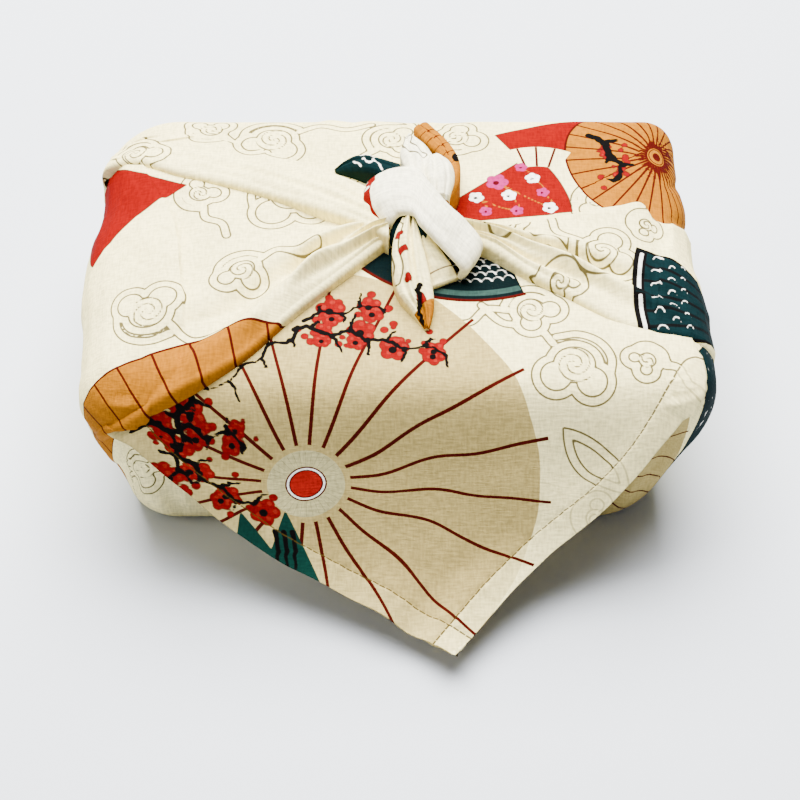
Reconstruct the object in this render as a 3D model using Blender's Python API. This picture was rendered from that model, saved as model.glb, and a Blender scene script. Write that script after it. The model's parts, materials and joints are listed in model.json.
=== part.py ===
"""Furoshiki wrap: one square cotton cloth folded over a box-shaped bundle.

The back corner of the cloth comes over the top and hangs over the front as a
hemmed flap; the left and right corners are gathered over it and tied on top
in a square knot with two tails.  One cloth, so one closed solid, standing on
its flat bottom with the flap towards -Y.  Metres, +Z up.
"""
import bpy
import bmesh
import numpy as np

for ob in list(bpy.data.objects):
    bpy.data.objects.remove(ob, do_unlink=True)

MM = 0.001

# ----------------------------------------------------------------- sizes (mm)
SHEET_T = 2.0            # thickness of the hanging flap with its hem
WRINKLE = 0.5            # height of the soft wrinkles on the bundle's sides
SIDE_COUNT = 12          # points along each straight side of a body ring
ARC_COUNT = 7            # points round each corner of a body ring

# Rings of the bundle: height, half length left, half length right, half depth
# front, half depth back, corner radius.
BODY = np.array([
    # z     left   right    hf     hb    rad
    [0.0,   91.0,  84.0,  59.5,  58.5, 19.0],
    [1.2,   95.5,  88.5,  62.0,  61.5, 20.0],
    [5.0,   99.5,  94.0,  64.0,  64.5, 22.0],
    [12.0, 102.0,  98.5,  65.5,  67.0, 24.0],
    [22.0, 104.5, 102.5,  66.5,  69.0, 25.0],
    [34.0, 108.0, 107.0,  67.4,  70.5, 24.0],
    [46.0, 110.6, 110.4,  68.0,  71.3, 22.0],
    [57.0, 111.6, 111.6,  68.4,  71.6, 21.0],
    [65.0, 110.6, 110.6,  68.2,  71.2, 20.0],
    [71.0, 107.6, 107.6,  66.6,  69.8, 19.0],
    [75.0, 102.5, 102.5,  62.8,  66.4, 18.0],
    [77.0,  95.0,  95.0,  56.0,  60.0, 17.0],
    [78.0,  80.0,  80.0,  44.0,  48.0, 15.0],
    [78.6,  52.0,  52.0,  27.0,  30.0, 13.0],
    [78.9,  24.0,  24.0,  12.0,  14.0,  8.0],
])
# How each end of the bundle swells and draws in from front to back.
END_SHAPE = np.array([
    # y      left   right
    [-72.0, 0.975, 0.985],
    [-48.0, 0.985, 0.992],
    [-32.0, 0.992, 0.975],
    [-14.0, 1.006, 0.968],
    [0.0,   1.010, 0.940],
    [10.0,  0.994, 0.940],
    [21.0,  0.976, 0.945],
    [31.0,  0.966, 0.948],
    [42.0,  0.978, 0.935],
    [54.0,  0.990, 0.930],
    [72.0,  0.985, 0.930],
])
# Corner radius factors: right front, right back, left back, left front.
CORNERS = (1.0, 0.4, 1.2, 0.72)

# Flap: how high the cloth stands at each distance in front of the centre.
FLAP_PROFILE = np.array([
    # y       z
    [-138.0, 10.2],
    [-129.7, 10.4],
    [-120.0, 11.8],
    [-110.0, 15.0],
    [-100.0, 21.2],
    [-92.0,  29.6],
    [-86.0,  39.0],
    [-80.0,  51.0],
    [-74.0,  63.4],
    [-69.0,  71.6],
    [-64.0,  76.2],
    [-58.0,  78.2],
    [-50.0,  78.9],
    [-43.0,  79.0],
    [-36.0,  78.7],
    [-26.0,  77.8],
    [20.0,   77.8],
])
# Flap outline: left hem and right hem, each from its side to the tip, and the
# line where the flap leaves the top of the bundle.
FLAP_LEFT = np.array([[-101.4, -68.4], [-90.0, -76.6], [-78.7, -81.8],
                      [-67.0, -86.9], [-55.2, -92.2], [-41.5, -98.2],
                      [-27.6, -104.2], [-12.1, -111.6], [4.1, -120.4],
                      [12.0, -125.3], [18.8, -130.0]])
FLAP_RIGHT = np.array([[103.4, -59.4], [98.8, -66.2], [93.8, -72.1], [85.3, -78.5],
                       [74.5, -84.6], [68.8, -87.6], [60.4, -92.1], [51.8, -96.8],
                       [42.5, -104.1], [34.4, -111.6], [26.0, -120.9], [18.8, -130.0]])
FLAP_TOP_Y = -27.0

# Fold edges of the gathered wings: x, y, top of the fold.
LEFT_UPPER_BACK = np.array([[-104.5, 52.0, 72.0], [-92.0, 57.0, 75.0], [-70.0, 55.0, 78.0],
                            [-47.0, 46.0, 79.4], [-30.0, 34.5, 83.0], [-17.0, 23.0, 88.0],
                            [-4.0, 12.0, 90.0]])
LEFT_UPPER_FOLD = np.array([[-110.5, 41.0, 72.0], [-101.0, 42.0, 77.6], [-79.2, 33.3, 81.2],
                            [-59.1, 26.1, 82.4], [-39.3, 16.6, 84.2], [-21.5, 6.2, 87.0],
                            [-4.0, -4.5, 87.6]])
LEFT_WING_BACK = np.array([[-108.0, 40.0, 70.0], [-98.0, 45.0, 75.0], [-79.0, 39.0, 78.0],
                           [-59.0, 31.5, 78.8], [-39.0, 21.5, 80.0], [-20.0, 9.5, 83.0],
                           [-3.0, 1.0, 85.6]])
LEFT_WING_FOLD = np.array([[-97.5, -62.0, 68.0], [-92.0, -70.6, 71.6], [-84.4, -71.6, 75.2], [-71.5, -63.8, 80.0],
                           [-54.6, -54.6, 81.4], [-36.0, -34.6, 82.6], [-20.0, -19.2, 84.0],
                           [-3.0, -3.0, 86.0]])
RIGHT_WING_BACK = np.array([[102.0, 12.0, 70.5], [94.0, 15.5, 75.6], [86.0, 20.0, 79.4],
                            [73.0, 17.2, 80.8], [55.0, 10.6, 82.2], [35.5, 3.6, 85.4],
                            [14.0, 3.0, 88.0]])
RIGHT_WING_FOLD = np.array([[102.0, -44.0, 66.0], [95.6, -43.5, 74.8], [80.0, -39.6, 80.0],
                            [57.5, -26.6, 82.2], [44.1, -18.3, 84.2], [30.0, -7.6, 87.0],
                            [12.0, -1.0, 88.0]])

# Knot pieces are ribbons: one edge x, y, z, the other edge x, y, z, how far the
# middle stands off the line between them in x, y, z, and the half thickness.
BAND = np.array([
    [-4.0, 22.0, 83.0, -1.0,   1.0, 83.0, -5.0, 0.5, 0.0, 2.2],
    [-7.0, 24.6, 87.6, -3.6,  -1.8, 87.2, -5.6, 0.8, 0.4, 2.4],
    [-4.0, 23.2, 91.4, -2.9,  -2.2, 91.6, -4.0, 0.5, 1.8, 2.5],
    [0.2,  22.4, 93.6, -0.6,  -1.2, 94.4, -1.6, 0.2, 1.8, 2.6],
    [5.6,  20.4, 95.4,  3.8,  -2.8, 96.4,  0.0, 0.0, 1.2, 2.6],
    [10.6, 12.1, 96.4,  6.8,  -8.0, 96.8,  0.0, 0.0, 1.0, 2.4],
    [16.8,  2.7, 95.0, 11.4, -12.8, 95.0,  0.0, 0.0, 1.0, 2.2],
    [22.7, -1.2, 91.4, 16.6, -17.1, 91.4,  0.0, 0.0, 1.0, 2.0],
    [28.0, -6.6, 86.4, 21.4, -20.6, 86.4,  0.8, -0.6, 0.4, 1.9],
    [27.2, -6.2, 81.6, 20.6, -19.8, 81.6,  0.0, 0.0, 0.0, 1.6],
])
LOWER_TAIL = np.array([
    [0.6,   -1.0, 91.6,  6.0,  -2.0, 91.6, 0.0, 0.0, 0.6, 2.4],
    [-1.4,  -6.0, 91.0,  7.2,  -8.0, 91.0, 0.0, 0.0, 0.8, 2.6],
    [-2.7, -13.0, 89.6,  8.6, -14.4, 89.6, 0.0, 0.0, 0.9, 2.6],
    [-2.4, -21.8, 86.6, 10.4, -22.3, 86.6, 0.0, 0.0, 1.0, 2.4],
    [-0.8, -28.2, 84.0, 11.6, -29.6, 84.0, 0.0, 0.0, 1.0, 2.2],
    [4.4,  -35.6, 81.6, 11.4, -35.8, 81.6, 0.0, 0.0, 0.6, 1.8],
    [8.4,  -41.4, 80.4, 10.0, -41.6, 80.4, 0.0, 0.0, 0.0, 1.2],
])
UPPER_TAIL = np.array([
    [5.0,  52.0, 84.6, 10.4, 54.8, 84.6, 0.0, 0.0, 0.4, 1.4],
    [8.7,  43.7, 86.0, 14.9, 47.4, 86.0, 0.0, 0.0, 0.8, 1.8],
    [13.4, 35.9, 87.4, 18.8, 39.5, 87.4, 0.0, 0.0, 0.8, 2.0],
    [16.4, 29.2, 88.6, 21.2, 32.0, 88.6, 0.0, 0.0, 0.8, 2.0],
    [15.6, 18.0, 89.4, 21.2, 20.0, 89.4, 0.0, 0.0, 0.6, 2.0],
    [9.0,   6.0, 88.0, 16.0,  8.0, 88.0, 0.0, 0.0, 0.0, 2.0],
])
LEFT_EAR = np.array([
    [1.6, 45.0, 85.0,  5.0, 47.6, 85.0, 0.0, 0.0, 0.6, 1.6],
    [0.0, 35.5, 88.0, 10.0, 38.4, 88.0, 0.0, 0.0, 1.4, 2.2],
    [1.8, 25.2, 90.4, 12.6, 28.2, 90.4, 0.0, 0.0, 1.6, 2.4],
    [4.0, 12.0, 90.4, 13.0, 15.0, 90.4, 0.0, 0.0, 0.8, 2.4],
])
RIGHT_EAR = np.array([
    [9.6,  31.2, 89.6, 14.4, 32.6, 89.6, 0.0, 0.0, 0.6, 1.8],
    [8.2,  24.6, 91.4, 18.4, 26.4, 91.4, 0.0, 0.0, 2.2, 2.2],
    [9.0,  17.6, 92.2, 19.4, 18.8, 92.2, 0.0, 0.0, 2.4, 2.2],
    [11.0, 10.0, 91.2, 17.4, 10.6, 91.2, 0.0, 0.0, 1.0, 2.0],
])
BACK_LEAF = np.array([
    [0.0,   32.0, 86.0,  1.0,  20.0, 86.0, 0.0, 0.0, 0.8, 2.0],
    [-8.3,  35.9, 85.6, -6.8,  26.2, 85.6, 0.0, 0.0, 1.2, 1.8],
    [-13.8, 39.2, 84.0, -11.9, 29.6, 84.0, 0.0, 0.0, 1.2, 1.6],
    [-20.0, 38.6, 81.4, -17.4, 32.8, 81.4, 0.0, 0.0, 0.8, 1.2],
    [-23.8, 36.4, 79.6, -23.0, 35.0, 79.6, 0.0, 0.0, 0.0, 0.8],
])
SIDE_FACET = np.array([
    [4.0,   -2.0, 90.6, 12.0,  -2.0, 90.6, 0.0, 0.0, 0.4, 1.8],
    [7.0,   -9.0, 89.0, 13.4, -10.0, 89.0, 0.0, 0.0, 0.5, 1.8],
    [9.0,  -16.0, 85.6, 17.4, -15.4, 85.6, 0.0, 0.0, 0.5, 1.6],
    [10.6, -23.4, 81.4, 20.4, -18.6, 81.4, 0.0, 0.0, 0.4, 1.2],
])
CORE = dict(centre=(9.0, 1.0, 84.0), radii=(13.5, 13.5, 10.5))


# -------------------------------------------------------------------- helpers
def spline(table, count):
    """Catmull-Rom resampling of a table's rows, evenly by chord length."""
    t = np.asarray(table, float)
    knots = np.r_[0.0, np.cumsum(np.linalg.norm(np.diff(t[:, :3], axis=0), axis=1))]
    pos = np.linspace(0.0, knots[-1], count)
    seg = np.clip(np.searchsorted(knots, pos, side="right") - 1, 0, len(t) - 2)
    h = (knots[seg + 1] - knots[seg])[:, None]
    w = (pos[:, None] - knots[seg][:, None]) / h
    slope = np.gradient(t, knots, axis=0)
    a, b = t[seg], t[seg + 1]
    m0, m1 = slope[seg] * h, slope[seg + 1] * h
    w2, w3 = w * w, w * w * w
    return ((2 * w3 - 3 * w2 + 1) * a + (w3 - 2 * w2 + w) * m0
            + (-2 * w3 + 3 * w2) * b + (w3 - w2) * m1)


def closed_mesh(name, verts, faces):
    """A mesh object from millimetre points, welded and facing outwards."""
    me = bpy.data.meshes.new(name)
    me.from_pydata([tuple(map(float, v)) for v in np.asarray(verts) * MM], [], faces)
    bm = bmesh.new()
    bm.from_mesh(me)
    bmesh.ops.remove_doubles(bm, verts=bm.verts, dist=2e-6)
    bmesh.ops.triangulate(bm, faces=bm.faces)
    bmesh.ops.recalc_face_normals(bm, faces=bm.faces)
    bm.to_mesh(me)
    bm.free()
    ob = bpy.data.objects.new(name, me)
    bpy.context.scene.collection.objects.link(ob)
    return ob


def tube(rings):
    """Faces of a stack of equal closed rings, capped at both ends."""
    rings = np.asarray(rings)
    n, m = rings.shape[:2]
    verts = rings.reshape(-1, 3)
    faces = []
    for i in range(n - 1):
        for j in range(m):
            k = (j + 1) % m
            faces.append((i * m + j, i * m + k, (i + 1) * m + k, (i + 1) * m + j))
    faces.append(tuple(range(m))[::-1])
    faces.append(tuple((n - 1) * m + j for j in range(m)))
    return verts, faces


def body_ring(z, left, right, hf, hb, rad):
    """A rounded rectangle whose ends swell and draw in along END_SHAPE."""
    pts = []
    corners = [(right, -hf, -90), (right, hb, 0), (-left, hb, 90), (-left, -hf, 180)]
    for factor, (cx, cy, start) in zip(CORNERS, corners):
        r = rad * factor
        ox, oy = cx - np.sign(cx) * r, cy - np.sign(cy) * r
        ang = np.radians(start + np.linspace(0, 90, ARC_COUNT))
        arc = np.stack([ox + r * np.cos(ang), oy + r * np.sin(ang)], 1)
        if pts:
            last = pts[-1][-1]
            steps = np.linspace(0, 1, SIDE_COUNT + 2)[1:-1, None]
            pts.append(last + (arc[0] - last) * steps)
        pts.append(arc)
    steps = np.linspace(0, 1, SIDE_COUNT + 2)[1:-1, None]
    pts.append(pts[-1][-1] + (pts[0][0] - pts[-1][-1]) * steps)
    p = np.concatenate(pts)
    p[:, 0] *= np.where(p[:, 0] < 0, np.interp(p[:, 1], END_SHAPE[:, 0], END_SHAPE[:, 1]),
                        np.interp(p[:, 1], END_SHAPE[:, 0], END_SHAPE[:, 2]))
    return np.c_[p, np.full(len(p), z)]


def body_top(x, y):
    """Height of the bundle's top at a place, from the rings near its rim."""
    x, y = np.asarray(x, float), np.asarray(y, float)
    end = np.where(x < 0, np.interp(y, END_SHAPE[:, 0], END_SHAPE[:, 1]),
                   np.interp(y, END_SHAPE[:, 0], END_SHAPE[:, 2]))
    qx = np.abs(x) / end - (111.6 - 20.0)
    qy = np.where(y < 0, -y - (68.4 - 20.0), y - (71.6 - 20.0))
    inside = 20.0 - np.hypot(np.maximum(qx, 0), np.maximum(qy, 0)) - np.minimum(np.maximum(qx, qy), 0)
    return np.interp(inside, [-3.0, 0.0, 1.0, 4.0, 9.1, 16.6, 28.0, 42.0, 59.0],
                     [50.0, 57.0, 65.0, 71.0, 75.0, 77.0, 78.0, 78.6, 78.9])


def build_body():
    """Bundle: rings from the flat bottom to the crowned top, softly wrinkled."""
    fine = []
    for a, b in zip(BODY[:-1], BODY[1:]):
        steps = 2 if b[0] - a[0] > 8 else 1
        for s in range(steps):
            fine.append(a + (b - a) * s / steps)
    fine.append(BODY[-1])
    rings = []
    for row in fine:
        ring = body_ring(*row)
        x, y, z = ring.T
        side = np.clip(row[0] / 20.0, 0, 1) * np.clip((77.0 - row[0]) / 12.0, 0, 1)
        fold = (np.sin(0.11 * y + 0.09 * z + 1.0) * np.clip((np.abs(x) - 80) / 25, 0, 1)
                + 0.8 * np.sin(0.07 * x - 0.05 * z + 0.4) * np.clip((y - 40) / 25, 0, 1)
                + 0.7 * np.sin(0.13 * z + 0.05 * x) * np.clip((-y - 40) / 25, 0, 1))
        length = np.hypot(x, y) + 1e-9
        ring[:, 0] += WRINKLE * side * fold * x / length
        ring[:, 1] += WRINKLE * side * fold * y / length
        rings.append(ring)
    verts, faces = tube(rings)
    return closed_mesh("bundle", verts, faces)


def flap_height(x, y):
    """Top of the flap: front profile, falling away past the bundle's sides."""
    z = np.interp(y, FLAP_PROFILE[:, 0], FLAP_PROFILE[:, 1])
    for _ in range(2):
        z = 0.5 * z + 0.25 * (np.interp(y - 2.5, FLAP_PROFILE[:, 0], FLAP_PROFILE[:, 1])
                              + np.interp(y + 2.5, FLAP_PROFILE[:, 0], FLAP_PROFILE[:, 1]))
    past = np.clip((np.abs(x) - 84.0) / 18.0, 0, 1.4)
    hang = np.clip((-y - 70.0) / 60.0, 0, 1)
    wave = 1.1 * np.sin(0.055 * x + 0.6) * hang + 0.7 * np.sin(0.12 * x - 0.03 * y) * hang
    z = z - 13.0 * past ** 2 + wave
    over = body_top(x, y)
    return np.where((y < FLAP_TOP_Y - 6.0) & (over > 56.0), np.maximum(z, over + 1.0), z)


def build_flap():
    """Flap: a sheet gridded across from hem to hem and down to its tip."""
    n_across, n_down = 25, 22
    left = spline(np.c_[FLAP_LEFT, np.zeros(len(FLAP_LEFT))], n_down)[:, :2]
    right = spline(np.c_[FLAP_RIGHT, np.zeros(len(FLAP_RIGHT))], n_down)[:, :2]
    top_l = np.array([[-90.0, FLAP_TOP_Y], [-93.0, -40.0], [-97.0, -55.0]])
    top_r = np.array([[90.0, FLAP_TOP_Y + 4], [95.5, -30.0], [99.5, -43.0]])
    left = np.r_[top_l, left]
    right = np.r_[top_r, right]
    s = np.linspace(0, 1, n_across)[None, :, None]
    grid = left[:, None] * (1 - s) + right[:, None] * s
    grid = grid[:-1]
    z = flap_height(grid[..., 0], grid[..., 1])
    tip = left[-1]
    tip_z = flap_height(tip[0], tip[1])
    n, m = grid.shape[:2]
    # each sheet point is carried along the surface normal for its thickness
    e = 0.5
    nx = -(flap_height(grid[..., 0] + e, grid[..., 1]) - flap_height(grid[..., 0] - e, grid[..., 1])) / (2 * e)
    ny = -(flap_height(grid[..., 0], grid[..., 1] + e) - flap_height(grid[..., 0], grid[..., 1] - e)) / (2 * e)
    nrm = np.stack([nx, ny, np.ones_like(nx)], -1)
    nrm /= np.linalg.norm(nrm, axis=-1, keepdims=True)
    top = np.stack([grid[..., 0], grid[..., 1], z], -1)
    # the part inside the bundle is kept thick, so the sheet leaves it cleanly
    sunk = np.clip((grid[..., 1] + 69.0) / 6.0, 0, 1)[..., None]
    low = top - nrm * SHEET_T - np.array([0, 0, 4.5]) * sunk
    verts = np.r_[top.reshape(-1, 3), low.reshape(-1, 3),
                  [[tip[0], tip[1], tip_z], [tip[0], tip[1] + 0.6, tip_z - SHEET_T]]]
    off = n * m
    t_top, t_low = 2 * off, 2 * off + 1
    faces = []
    for i in range(n - 1):
        for j in range(m - 1):
            a, b, c, d = i * m + j, i * m + j + 1, (i + 1) * m + j + 1, (i + 1) * m + j
            faces.append((a, d, c, b))
            faces.append((a + off, b + off, c + off, d + off))
    for j in range(m - 1):
        a, b = (n - 1) * m + j, (n - 1) * m + j + 1
        faces.append((a, t_top, b))
        faces.append((a + off, b + off, t_low))
        faces.append((j, j + 1, j + 1 + off, j + off))
    for i in range(n - 1):
        a, b = i * m, (i + 1) * m
        faces.append((a, a + off, b + off, b))
        a, b = i * m + m - 1, (i + 1) * m + m - 1
        faces.append((a, b, b + off, a + off))
    for j in (0, m - 1):
        a = (n - 1) * m + j
        faces.append((a, a + off, t_low, t_top) if j == 0 else (a, t_top, t_low, a + off))
    return closed_mesh("flap", verts, faces)


def build_wing(name, back, fold, crown, creases, roll, roll_back, sink):
    """Gathered wing: a crowned, creased surface between its two fold edges."""
    nu, nv = 24, 11
    e0, e1 = spline(back, nu), spline(fold, nu)
    across = e1 - e0
    across[:, 2] = 0
    width = np.linalg.norm(across, axis=1)[:, None]
    across /= width
    roll_back = np.minimum(roll_back, 0.2 * width)
    roll = np.minimum(roll, 0.2 * width)
    v = np.linspace(0, 1, nv)[None, :, None]
    u = np.linspace(0, 1, nu)[:, None]
    start, stop = e0 + across * roll_back, e1 - across * roll
    grid = start[:, None] * (1 - v) + stop[:, None] * v
    vv = v[..., 0]
    lift = crown * 4 * vv * (1 - vv) * (1 - 0.3 * u)
    for phase, count, height in creases:
        lift = lift + height * np.cos(2 * np.pi * (count * vv + phase)) * u ** 1.2 * np.sin(np.pi * vv) ** 0.6
    grid[..., 2] += lift
    hug = np.interp(u, [0.0, 0.07, 0.16], [-2.2, 1.0, 1.2])
    below = body_top(grid[..., 0], grid[..., 1])
    grid[1:, :, 2] = np.maximum(grid[..., 2], below + hug)[1:]
    grid[0, :, 2] = np.maximum(below[0] - 2.2, grid[0, :, 2] - 5.0)
    start[:, 2], stop[:, 2] = grid[:, 0, 2], grid[:, -1, 2]

    def edge(base, side, radius):
        """Rows that turn out and down round a fold."""
        return [base + side * across * radius * np.sin(np.radians(a))
                - np.array([0, 0, 1.0]) * radius * (1 - np.cos(np.radians(a))) for a in (80, 45)]

    rows = edge(start, -1, roll_back) + [grid[:, j] for j in range(nv)] + edge(stop, 1, roll)[::-1]
    surf = np.stack(rows, 1)
    floor = surf.copy()
    floor[..., 2] = np.minimum(sink, surf[..., 2] - 2.0)
    inset = np.clip((np.abs(floor[..., 0]) - 92.0) / 12.0, 0, 1)
    floor[..., 2] -= 3.0 * inset
    n, m = surf.shape[:2]
    verts = np.r_[surf.reshape(-1, 3), floor.reshape(-1, 3)]
    off = n * m
    faces = []
    for i in range(n - 1):
        for j in range(m - 1):
            a, b, c, d = i * m + j, i * m + j + 1, (i + 1) * m + j + 1, (i + 1) * m + j
            faces += [(a, b, c, d), (a + off, d + off, c + off, b + off)]
        a, d = i * m, (i + 1) * m
        faces.append((a, d, d + off, a + off))
        a, d = a + m - 1, d + m - 1
        faces.append((a, a + off, d + off, d))
    for j in range(m - 1):
        a, b = j, j + 1
        faces.append((a, a + off, b + off, b))
        a, b = (n - 1) * m + j, (n - 1) * m + j + 1
        faces.append((a, b, b + off, a + off))
    return closed_mesh(name, verts, faces)


def build_ribbon(name, table, count, crease=0.0, floor=None, power=0.75, around=16):
    """Knot parts: a flattened loop between two edges, its middle stood off;
    with a floor, the underside reaches down into the bundle."""
    t = spline(table, count)
    one, two, off, half_t = t[:, 0:3], t[:, 3:6], t[:, 6:9], t[:, 9]
    wide = (one - two) / 2
    middle = (one + two) / 2
    tangent = np.gradient(middle, axis=0)
    normal = np.cross(wide, tangent)
    normal /= np.linalg.norm(normal, axis=1)[:, None]
    normal *= np.sign(np.cross(table[1, 0:3] - table[1, 3:6],
                               table[2, 0:3] - table[1, 0:3])[2]) or 1.0
    ang = np.linspace(0, 2 * np.pi, around, endpoint=False)
    cw = np.sign(np.cos(ang)) * np.abs(np.cos(ang)) ** power
    ct = np.sign(np.sin(ang)) * np.abs(np.sin(ang)) ** power
    dent = crease * np.exp(-(cw / 0.28) ** 2) * (ct > 0)
    rings = (middle[:, None] + wide[:, None] * cw[:, None] + off[:, None] * (1 - cw ** 2)[:, None]
             + normal[:, None] * (half_t[:, None] * (ct - dent))[..., None])
    if floor is not None:
        under = ct < -0.05
        rings[:, under, 2] = np.minimum(rings[:, under, 2] - 1.5, floor)
    verts, faces = tube(rings)
    return closed_mesh(name, verts, faces)


def build_ball(name, centre, radii, tiers=9, around=18):
    """Knot core: an ellipsoid of quads with pointed poles."""
    lat = np.linspace(-90, 90, tiers + 2)[1:-1]
    ang = np.linspace(0, 2 * np.pi, around, endpoint=False)
    rings = []
    for phi in np.radians(lat):
        rings.append(np.stack([np.cos(phi) * np.cos(ang), np.cos(phi) * np.sin(ang),
                               np.full_like(ang, np.sin(phi))], 1))
    pts = np.array(rings) * np.array(radii) + np.array(centre)
    verts, faces = tube(pts)
    return closed_mesh(name, verts, faces)


# ---------------------------------------------------------------------- build
parts = [
    build_body(),
    build_flap(),
    build_wing("left_wing", LEFT_WING_BACK, LEFT_WING_FOLD, 2.4,
               [(0.10, 3.0, 1.3), (0.35, 5.0, 0.6)], 2.0, 1.0, 70.0),
    build_wing("left_upper", LEFT_UPPER_BACK, LEFT_UPPER_FOLD, 1.0,
               [(0.0, 2.0, 0.5)], 2.2, 1.0, 70.5),
    build_wing("right_wing", RIGHT_WING_BACK, RIGHT_WING_FOLD, 1.6,
               [(0.2, 3.0, 1.1), (0.0, 5.0, 0.5)], 2.4, 1.8, 71.0),
    build_ball("core", **CORE),
    build_ribbon("band", BAND, 17, power=0.7),
    build_ribbon("lower_tail", LOWER_TAIL, 14, crease=0.5, floor=76.0),
    build_ribbon("side_facet", SIDE_FACET, 8, floor=76.2),
    build_ribbon("upper_tail", UPPER_TAIL, 12, floor=76.4),
    build_ribbon("left_ear", LEFT_EAR, 9, floor=76.6),
    build_ribbon("right_ear", RIGHT_EAR, 8, floor=76.8),
    build_ribbon("back_leaf", BACK_LEAF, 9, floor=77.0),
]

cloth = parts[0]
for other in parts[1:]:
    mod = cloth.modifiers.new(other.name, "BOOLEAN")
    mod.operation = "UNION"
    mod.solver = "EXACT"
    mod.object = other
    bpy.context.view_layer.update()
    depsgraph = bpy.context.evaluated_depsgraph_get()
    mesh = bpy.data.meshes.new_from_object(cloth.evaluated_get(depsgraph))
    cloth.modifiers.remove(mod)
    bm = bmesh.new()
    bm.from_mesh(mesh)
    bmesh.ops.triangulate(bm, faces=bm.faces)
    bm.to_mesh(mesh)
    bm.free()
    cloth.data = mesh
    bpy.data.objects.remove(other, do_unlink=True)

bm = bmesh.new()
bm.from_mesh(cloth.data)
bmesh.ops.triangulate(bm, faces=bm.faces)
bmesh.ops.recalc_face_normals(bm, faces=bm.faces)
bm.to_mesh(cloth.data)
bm.free()
cloth.name = "furoshiki_cloth"
cloth.data.name = "furoshiki_cloth"
cloth.data.materials.clear()

cotton = bpy.data.materials.new("printed_cotton")
cotton.use_nodes = True
shader = cotton.node_tree.nodes["Principled BSDF"]
shader.inputs["Base Color"].default_value = (0.83, 0.79, 0.67, 1.0)
shader.inputs["Roughness"].default_value = 0.85
cloth.data.materials.append(cotton)
print("furoshiki_cloth:", len(cloth.data.vertices), "points,", len(cloth.data.polygons), "triangles")
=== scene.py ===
# %% [markdown]
# # A furoshiki wrap, lesson in cells
# A furoshiki is one square of printed cotton, folded over a box and tied.
# The back corner comes over the top and hangs in front as a hemmed flap, and
# the left and right corners are gathered to a knot on top of it.
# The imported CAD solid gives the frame; the cells below make the visible folds
# of that one cloth as fine surfaces worked out with numpy, then print them.

# %% Load the frame
import json
import math
import bmesh
import bpy
import numpy as np
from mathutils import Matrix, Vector

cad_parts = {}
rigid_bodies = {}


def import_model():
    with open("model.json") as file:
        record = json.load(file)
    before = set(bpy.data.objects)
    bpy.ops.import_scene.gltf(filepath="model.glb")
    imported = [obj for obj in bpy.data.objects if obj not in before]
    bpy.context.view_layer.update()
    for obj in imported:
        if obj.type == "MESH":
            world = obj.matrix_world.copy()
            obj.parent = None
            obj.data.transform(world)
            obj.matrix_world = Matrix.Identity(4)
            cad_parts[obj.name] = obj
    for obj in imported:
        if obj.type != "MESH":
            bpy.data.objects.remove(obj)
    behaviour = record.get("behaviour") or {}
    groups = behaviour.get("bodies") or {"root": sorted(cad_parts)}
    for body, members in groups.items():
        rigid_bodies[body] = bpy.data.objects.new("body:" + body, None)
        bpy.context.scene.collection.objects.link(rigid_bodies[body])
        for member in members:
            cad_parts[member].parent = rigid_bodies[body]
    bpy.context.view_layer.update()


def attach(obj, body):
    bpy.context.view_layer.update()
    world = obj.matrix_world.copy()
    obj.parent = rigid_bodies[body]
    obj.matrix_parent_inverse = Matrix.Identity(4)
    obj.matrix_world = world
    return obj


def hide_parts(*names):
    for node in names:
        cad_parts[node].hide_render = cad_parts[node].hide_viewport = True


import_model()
MM = 0.001
FINE = 1.0

# %% [markdown]
# ## Camera
# The wrap is seen from the front and well above, so the top, the knot and the
# flap all show. A long lens about 0.85 m away keeps the box nearly square; a
# short lens close by would make its front edge loom.

# %% Camera
ELEVATION = 50.0                           # degrees above the floor
DISTANCE = 0.85                            # metres to the point it looks at
AIM = Vector((0.0, -0.0355, 0.035))
SENSOR = 36.0                              # mm
FOCAL_PX, FRAME_PX = 2370.0, 800.0         # focal length and frame width in pixels
scene_objects = bpy.context.scene.collection.objects
tilt = math.radians(ELEVATION)
cam_data = bpy.data.cameras.new("camera")
cam_data.sensor_fit = "HORIZONTAL"
cam_data.sensor_width = SENSOR
cam_data.lens = FOCAL_PX * SENSOR / FRAME_PX
camera = bpy.data.objects.new("camera", cam_data)
camera.location = AIM - Vector((0, math.cos(tilt), -math.sin(tilt))) * DISTANCE
camera.rotation_euler = (math.radians(90.0 - ELEVATION), 0, 0)
scene_objects.link(camera)
bpy.context.scene.camera = camera
print(f"lens {cam_data.lens:.1f} mm, camera at", tuple(round(c, 3) for c in camera.location))

# %% [markdown]
# ## Floor
# A plain pale floor, wide enough to fill the view, a hair below the wrap so
# that the two never share a plane. It is a real matt surface and not a painted
# backdrop, so the shadow on it is a real one.

# %% Floor
FLOOR_HALF, FLOOR_Z = 4, -0.0003           # metres
floor_mesh = bpy.data.meshes.new("floor")
around = ((-1, -1), (1, -1), (1, 1), (-1, 1))
floor_mesh.from_pydata([(FLOOR_HALF * x, FLOOR_HALF * y, FLOOR_Z) for x, y in around], [], [(0, 1, 2, 3)])
floor = bpy.data.objects.new("floor", floor_mesh)
scene_objects.link(floor)
floor_mat = bpy.data.materials.new("pale_floor")
floor_mat.use_nodes = True
floor_bsdf = floor_mat.node_tree.nodes["Principled BSDF"]
floor_bsdf.inputs["Base Color"].default_value = (0.60, 0.635, 0.69, 1)
floor_bsdf.inputs["Roughness"].default_value = 0.9
floor_bsdf.inputs["Specular IOR Level"].default_value = 0.05
floor_mesh.materials.append(floor_mat)
print("floor", 2 * FLOOR_HALF, "m wide")

# %% [markdown]
# ## Light
# One large overhead softbox, a little behind, gives the short soft shadow in
# front. A weak one on the left lifts the dark side of the knot, and the pale
# room fills the rest. Small lamps would give hard shadows in every fold.

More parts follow.
